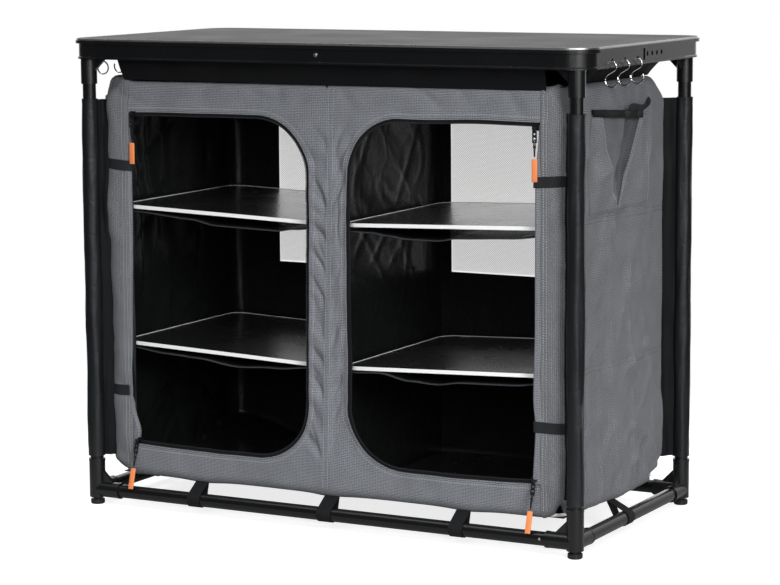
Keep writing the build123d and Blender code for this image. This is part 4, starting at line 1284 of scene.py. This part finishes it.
def pull_frame(level, side):
    """Where a pull hangs: its crown bar's place and its tilt."""
    y, z = CROWN[level]
    return Matrix.Translation((side * SLIDER_X, y, z)) @ Matrix.Rotation(math.radians(-TILT[level]), 4, "X")


def add_block(name, size, at):
    """A primitive cube sized and placed, left in edit mode with everything selected."""
    bpy.ops.object.select_all(action="DESELECT")
    bpy.ops.mesh.primitive_cube_add(size=1.0, location=(0, 0, 0))
    obj = bpy.context.active_object
    obj.name = obj.data.name = name
    bpy.ops.object.mode_set(mode="EDIT")
    bpy.ops.transform.resize(value=size)
    bpy.ops.transform.translate(value=at)
    return obj


def leave_edit(obj, bevel, segments=2, angle=30):
    """Back to object mode, with the edges rounded if a bevel is given."""
    bpy.ops.object.mode_set(mode="OBJECT")
    if bevel:
        soft = obj.modifiers.new("soft_edges", "BEVEL")
        soft.width = bevel
        soft.segments = segments
        soft.limit_method = "ANGLE"
        soft.angle_limit = math.radians(angle)
    finish_mesh(obj)
    return obj


def add_torus(major, minor, **place):
    """A torus with its place and turn applied."""
    bpy.ops.object.select_all(action="DESELECT")
    bpy.ops.mesh.primitive_torus_add(major_segments=24, minor_segments=10, major_radius=major,
                                     minor_radius=minor, **place)
    bpy.ops.object.transform_apply(location=True, rotation=True, scale=True)
    return bpy.context.active_object


def puller(name):
    """Flat puller: an eye above, a plate with a slot below."""
    plate = add_block(name, (0.0078, 0.0018, 0.0195), (0, 0, -0.01415))
    bpy.ops.mesh.subdivide(number_cuts=1)
    leave_edit(plate, 0.0)
    slot = leave_edit(add_block("cut_slot", (0.0042, 0.01, 0.0068), (0, 0, -0.0184)), 0.0012, 3)
    hole = leave_edit(add_block("cut_hole", (0.0036, 0.01, 0.0036), (0, 0, -0.0098)), 0.0014, 3)
    for cutter in (slot, hole):
        cut = plate.modifiers.new("cut", "BOOLEAN")
        cut.operation = "DIFFERENCE"
        cut.solver = "EXACT"
        cut.object = cutter
        bpy.context.view_layer.objects.active = plate
        bpy.ops.object.modifier_apply(modifier=cut.name)
        bpy.data.objects.remove(cutter)
    leave_edit(plate, 0.0004)
    eye = add_torus(0.0016, 0.00052, rotation=(0, math.pi / 2, 0))
    bpy.ops.object.mode_set(mode="EDIT")
    bpy.ops.transform.resize(value=(2.6, 1, 1))
    bpy.ops.object.mode_set(mode="OBJECT")
    neck = leave_edit(add_block("neck", (0.0036, 0.0016, 0.0034), (0, 0, -0.0032)), 0.0003)
    select_only(eye, neck, plate)
    bpy.ops.object.join()
    return plate


def tag(name):
    """Moulded tag: a rounded bar with grip ribs."""
    bar = leave_edit(add_block(name, (0.0094, 0.0032, 0.0365), (0, 0, -0.0677)), 0.0011, 3)
    ribs = []
    for k in range(7):
        rib = add_block("rib", (0.0066, 0.0038, 0.0011), (0, 0, -0.062 - 0.0030 * k))
        ribs.append(leave_edit(rib, 0.0004))
    select_only(*ribs, bar)
    bpy.ops.object.join()
    return bar


def knot(name):
    """The overhand knot: a short thick turn of the same cord under the puller."""
    obj = add_torus(0.0017, 0.0011, location=(0, 0, -0.0300), rotation=(0.5, 0.9, 0))
    obj.name = name
    finish_mesh(obj)
    return obj


for level in ("top", "bottom"):
    for hand, side in HANDS.items():
        at = pull_frame(level, side)
        body = f"zip_pull_{level}_{hand}"
        metal = puller(f"puller_{level}_{hand}")
        metal.data.materials.clear()
        metal.data.materials.append(plated)
        grip = tag(f"tag_{level}_{hand}")
        grip.data.materials.clear()
        grip.data.materials.append(orange_tag)
        tie = knot(f"knot_{level}_{hand}")
        tie.data.materials.append(cord_material)
        for piece, slot in ((metal, "zip_metal"), (grip, "zip_tag"), (tie, "zip_cord")):
            piece.data.transform(at)
            piece.matrix_world = Matrix.Identity(4)
            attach(piece, body)
        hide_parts(f"zip_pull_{level}_{hand}")
        curve = bpy.data.curves.new(f"cord_{level}_{hand}", "CURVE")
        curve.dimensions = "3D"
        spline = curve.splines.new("NURBS")
        spline.points.add(len(CORD_ROUTE) - 1)
        route = [at @ Vector((0, a / 1000, b / 1000)) for a, b in CORD_ROUTE]
        for point, place in zip(spline.points, route):
            point.co = (*place, 1.0)
        spline.order_u = 3
        spline.use_endpoint_u = True
        spline.resolution_u = 8
        curve.bevel_depth = 0.0008
        curve.bevel_resolution = 3
        curve.use_fill_caps = True
        cord = bpy.data.objects.new(f"cord_{level}_{hand}", curve)
        scene.collection.objects.link(cord)
        curve.materials.append(cord_material)
        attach(cord, body)
        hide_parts(f"zip_cord_{level}_{hand}")
print("zip pulls made")

# %% [markdown]
# ## Side pocket
# The pocket on the right side has a V pleat: two stitched flaps part towards the mouth, and the
# cloth between them lies deeper. Webbing binds the mouth, and a hook-and-loop strap crosses it.
# Flaps and pleat are separate sheets, so that each flap's folded edge stands clear of the pleat.

# %% Side pocket
POCKET_LOW = 0.541
FLAP = {"outer": ((0, -0.1395), (1, -0.1325)), "left": ((0, -0.0386), (1, -0.1136)),
        "middle": ((0, -0.0190), (0.2, -0.0230), (0.35, -0.0350), (1, -0.0080)),
        "right": ((0, -0.0170), (1, 0.0552)), "rear": ((0, 0.1053), (1, 0.1030))}


def pocket_line(name, t):
    """Where one of the pocket's lines is, from 0 at its foot to 1 at its mouth."""
    for (a, first), (b, second) in zip(FLAP[name], FLAP[name][1:]):
        if t <= b:
            return first + (second - first) * (t - a) / (b - a)
    return FLAP[name][-1][1]


def mouth(y):
    return 0.7110 - 0.067 * (y + 0.131)


def on_side(y, z, stand):
    """A point on the right side, standing out from the skin."""
    return Vector((skin(FRONT_RUN + QUARTER + (y + BODY_Y - EDGE_R), z, 1).x + max(0.0012, stand), y, z))


def flap_height(t):
    return 0.0032 + 0.0095 * t ** 1.2


def pocket_sheet(name, columns, material, replaced=()):
    """columns(t) gives (y, stand) pairs along the row at height t."""
    rows, coords = [], []
    for k in range(44):
        t = k / 43
        row = []
        for y, stand in columns(t):
            z = POCKET_LOW + (mouth(y) - 0.006 - POCKET_LOW) * t
            ripple = 0.0012 * noise.noise(Vector((y * 30, z * 14, 8.0))) * min(1.0, stand / 0.004)
            row.append(on_side(y, z, stand + ripple))
        rows.append(row)
        coords.append([(p.y, p.z + 0.3) for p in row])
    made = cloth(name, rows, coords, [material, side_cloth], thick=0.0009, facing=(1, 0, 0))
    declare(made, replaced)


def left_flap(t):
    first, last, high = pocket_line("outer", t), pocket_line("left", t), flap_height(t)
    made = [(first + (last - first) * k / 12, 0.0012 + (high - 0.0012) * smooth(k / 12)) for k in range(13)]
    return made + [(last + 0.0012, high - 0.0004), (last + 0.0016, high - 0.0014),
                   (last + 0.0006, high - 0.0022)]


def right_flap(t):
    first, last, high = pocket_line("right", t), pocket_line("rear", t), flap_height(t)
    edge = [(first - 0.0006, high - 0.0022), (first - 0.0016, high - 0.0014), (first - 0.0012, high - 0.0004)]
    return edge + [(first + (last - first) * k / 14, high + (0.0012 - high) * smooth(k / 14))
                   for k in range(15)]


def lit_pleat(t):
    """The half of the pleat beside the left flap lies nearly flat."""
    first, middle, high = pocket_line("left", t) - 0.004, pocket_line("middle", t), flap_height(t)
    return [(first + (middle - first) * k / 9, high - 0.0034 - 0.0012 * t * k / 9) for k in range(10)]


def dark_pleat(t):
    """The other half drops behind it and comes up again under the right flap."""
    middle, last, high = pocket_line("middle", t), pocket_line("right", t) + 0.004, flap_height(t)
    deep = high - 0.0046 - 0.0060 * t ** 0.6
    near = high - 0.0030
    return [(middle - 0.0015 + (last - middle + 0.0015) * k / 9,
             (deep if k else high - 0.0042 - 0.0012 * t) + (near - deep) * (k / 9) ** 2) for k in range(10)]


# the pleat's two cloths are the side cloth painted darker: painted shade in the V recess, deepest on the
# right half
pleat_deep_shade_cloth = oxford("pleat_painted_deep_shade", "#66686c", "#1c1d20", 0.2)
shaded_cloth = oxford("pleat_painted_shade", "#7b7d81", "#3a3c40", 0.10)
pocket_sheet("pocket_left_flap", left_flap, side_cloth, ["side_pocket"])
pocket_sheet("pocket_right_flap", right_flap, side_cloth)
pocket_sheet("pocket_pleat_left", lit_pleat, shaded_cloth)
pocket_sheet("pocket_pleat_right", dark_pleat, pleat_deep_shade_cloth)

rows, coords = [], []
bind_ys = spaced(-0.1335, 0.0560, 0.003)
for drop, lift in ((-0.0115, 0.0012), (-0.0105, 0.0021), (-0.005, 0.0024), (0.0, 0.0020), (0.0007, 0.0004),
                   (-0.001, -0.0016), (-0.008, -0.0018)):
    row = []
    for y in bind_ys:
        stand = 0.0015 + 0.0110 * smooth((y + 0.1345) / 0.024)
        stand += 0.0014 * noise.noise(Vector((y * 24, 3.0, 1.0)))
        row.append(on_side(y, mouth(y) + drop, stand + lift))
    rows.append(row)
    coords.append([(drop, y) for y in bind_ys])
binding = cloth("pocket_binding", rows, coords, [webbing, webbing], thick=0.0008, facing=(1, 0, 0))
declare(binding, ())

path = [(-0.014, 0.7075, 0.0150), (-0.002, 0.7090, 0.0165), (0.012, 0.7085, 0.0160), (0.030, 0.7055, 0.0155),
        (0.055, 0.7030, 0.0140), (0.076, 0.7025, 0.0085), (0.092, 0.7040, 0.0060), (0.102, 0.7085, 0.0050),
        (0.109, 0.7155, 0.0042)]
rows, coords = [[], [], []], [[], [], []]
run = 0.0
last = Vector((0, path[0][0], path[0][1]))
for y, z, stand in path:
    here = Vector((0, y, z))
    run += (here - last).length
    last = here
    for n, dz in enumerate((-0.0052, 0.0, 0.0052)):
        slant = 0.8 if y > 0.1 else 0.0
        rows[n].append(on_side(y - dz * slant, z + dz, stand))
        coords[n].append((dz, run))
closure = cloth("pocket_strap", rows, coords, [napped, napped], thick=0.0016, facing=(1, 0, 0), levels=2)
declare(closure, ())
print("pocket made")

# %% [markdown]
# ## Stitches
# Lockstitches of polyester thread run beside every seam. Each stitch is a small bar of thread
# about 3 mm long, and they are all copied from one.

# %% Stitch lines

SEAM_STITCH = (0.0042, 0.0025, 0.00045)  # pitch, length and thread radius on the front
SHELF_STITCH = (0.0042, 0.0027, 0.00034)
POCKET_STITCH = (0.0038, 0.0022, 0.00034)


def stitches(name, path, normal, material, sizes):
    """Bars of thread along a path of points, lying on cloth that faces the normal."""
    pitch, long, thick = sizes
    points, faces = [], []
    carried = 0.0
    for a, b in zip(path, path[1:]):
        run = (b - a).length
        if run < 1e-9:
            continue
        way = (b - a) / run
        cross = normal.cross(way).normalized()
        while carried < run:
            first = len(points)
            for at, grow in ((0, 0.35), (0.3, 1.0), (0.7, 1.0), (1.0, 0.35)):
                c = a + way * carried + way * (long * at) + normal * (thick * (0.5 if 0 < at < 1 else -0.2))
                points += [c + cross * thick * grow, c + normal * thick * grow,
                           c - cross * thick * grow, c - normal * thick * grow]
            for k in range(3):
                for m in range(4):
                    p, q = first + 4 * k + m, first + 4 * k + (m + 1) % 4
                    faces.append((p, p + 4, q + 4, q))
            faces.append((first, first + 1, first + 2, first + 3))
            faces.append((first + 15, first + 14, first + 13, first + 12))
            carried += pitch
        carried -= run
    row = new_object(name, points, faces, [material])
    face_outwards(row)
    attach(row, "cupboard")


FRONT, EAST = Vector((0, -1, 0)), Vector((1, 0, 0))
SIDE_START = FRONT_RUN + QUARTER
for hand, side in HANDS.items():
    for inset, label, yarn in ((-0.0022, "edge", dark_thread), (-0.0080, "hem", thread)):
        way = [front_point(x, z, side, 0.0002) for x, z in opening_line(inset, 0.004)]
        stitches(f"{hand}_opening_{label}_stitch", way, FRONT, yarn, SEAM_STITCH)
    for at, label in ((0.3955, "strip"), (0.4015, "strip_inner")):
        way = [skin(at, z, side, 0.0002) for z in spaced(0.068, 0.738, 0.006)]
        stitches(f"{hand}_{label}_stitch", way, FRONT, thread, SEAM_STITCH)
    for number, (front_z, rear_z) in enumerate(SHELF_SEAMS):
        for k, drop in enumerate((0.0, 0.007)):
            way = []
            for g in spaced(SIDE_START, SIDE_START + SIDE_RUN, 0.006):
                t = (g - SIDE_START) / SIDE_RUN
                way.append(skin(g, front_z + (rear_z - front_z) * t - drop, side, 0.0002))
            stitches(f"{hand}_shelf_{number}_{k}_stitch", way, EAST * side, dark_thread,
                     SHELF_STITCH)
for label, shift, last in (("left", -0.0035, 0.94), ("right", 0.0035, 0.94), ("rear", -0.002, 0.7)):
    way = []
    for t in spaced(0.02, last, 0.02):
        y = pocket_line(label, t) + shift
        z = POCKET_LOW + (mouth(y) - 0.006 - POCKET_LOW) * t
        way.append(on_side(y, z, (flap_height(t) if label != "rear" else 0.0012) + 0.0005))
    stitches(f"pocket_{label}_stitch", way, EAST, thread, POCKET_STITCH)
way = [on_side(y, POCKET_LOW + 0.0025, 0.0022 + 0.0016 * bell(y, -0.025, 0.06))
       for y in spaced(-0.137, 0.103, 0.005)]
stitches("pocket_foot_stitch", way, EAST, dark_thread, POCKET_STITCH)
for hand, side in HANDS.items():
    way = [front_point(0.0045, z, side, 0.0002) for z in spaced(0.066, 0.740, 0.006)]
    stitches(f"centre_stitch_{hand}", way, FRONT, thread, (0.0042, 0.0025, 0.00040))
print("stitches made")

# %% [markdown]
# ## Floor and light
# A product studio: white paper under the cupboard that fades out into a white room, a bright wall
# behind, and a dim side in front so that the black frame stays black. Two tall soft boxes stand left
# and right of the camera and a low wide one at its foot, for the lines of light along the tubes.
# Broad soft light comes from above.

# %% Stage and light
bpy.ops.object.select_all(action="DESELECT")
bpy.ops.mesh.primitive_circle_add(vertices=96, radius=1.4, fill_type="TRIFAN", location=(0, 0, -0.0005))
studio_floor = bpy.context.active_object
studio_floor.name = "studio_floor"
paper = new_material("white_paper", "#b4b4b4", 0.9, Specular_IOR_Level=0.0, Emission_Color=(1, 1, 1, 1))
spot = add(paper, "TexCoord")
away = add(paper, "VectorMath", {"Vector": spot.outputs["Object"]}, operation="LENGTH")
edge_fade = add(paper, "MapRange", {"Value": away.outputs["Value"]},
                {"From Min": 0.6, "From Max": 1.3, "To Min": 1.0, "To Max": 0.0},
                interpolation_type="SMOOTHSTEP")
feed(paper, "Alpha", edge_fade.outputs["Result"])
paper_seen = add(paper, "LightPath")
paper_glow = add(paper, "Math", {0: paper_seen.outputs["Is Camera Ray"]}, {1: 0.8}, operation="MULTIPLY")
feed(paper, "Emission Strength", paper_glow.outputs[0])
studio_floor.data.materials.append(paper)

world = bpy.data.worlds.new("studio")
scene.world = world
world.use_nodes = True
room = world.node_tree.nodes["Background"]
room_way = add(world, "TexCoord")
room_turn = add(world, "VectorMath", {0: room_way.outputs["Generated"]}, {1: (-0.35, 0.931, 0.10)},
                operation="DOT_PRODUCT")
room_tone = add(world, "MapRange", {"Value": room_turn.outputs["Value"]},
                {"From Min": 0.58, "From Max": 0.92, "To Min": 0.08, "To Max": 1.6},
                interpolation_type="SMOOTHSTEP")
white_wall = add(world, "Background", values={"Color": (1, 1, 1, 1), "Strength": 1.0})
seen = add(world, "LightPath")
blend = add(world, "MixShader",
            {0: seen.outputs["Is Camera Ray"], 1: room.outputs[0], 2: white_wall.outputs[0]})
room.inputs["Color"].default_value = (1, 1, 1, 1)
world.node_tree.links.new(room_tone.outputs["Result"], room.inputs["Strength"])
world.node_tree.links.new(blend.outputs[0], world.node_tree.nodes["World Output"].inputs["Surface"])


def soft_box(name, at, aim, size, power):
    data = bpy.data.lights.new(name, "AREA")
    data.shape = "RECTANGLE"
    data.size, data.size_y = size
    data.energy = power
    light = bpy.data.objects.new(name, data)
    light.location = at
    light.rotation_euler = (Vector(aim) - Vector(at)).to_track_quat("-Z", "Y").to_euler()
    scene.collection.objects.link(light)


def soft_sky(name, way, strength, spread):
    """Even light from one side, as from a large far screen."""
    data = bpy.data.lights.new(name, "SUN")
    data.energy = strength
    data.angle = math.radians(spread)
    light = bpy.data.objects.new(name, data)
    light.rotation_euler = Vector(way).to_track_quat("-Z", "Y").to_euler()
    scene.collection.objects.link(light)


soft_sky("overhead", (0.0, 0.1, -1.0), 2.1, 60)
soft_box("key_left_of_camera", (1.44, -3.95, 2.0), (0, 0, 0.45), (1.5, 2.0), 66)
soft_box("key_right_of_camera", (3.22, -2.70, 2.0), (0, 0, 0.45), (1.3, 1.8), 135)
soft_box("low_wide_box", (3.19, -2.23, 0.12), (0, 0, 0.45), (3.0, 0.9), 16)
print("lights set")
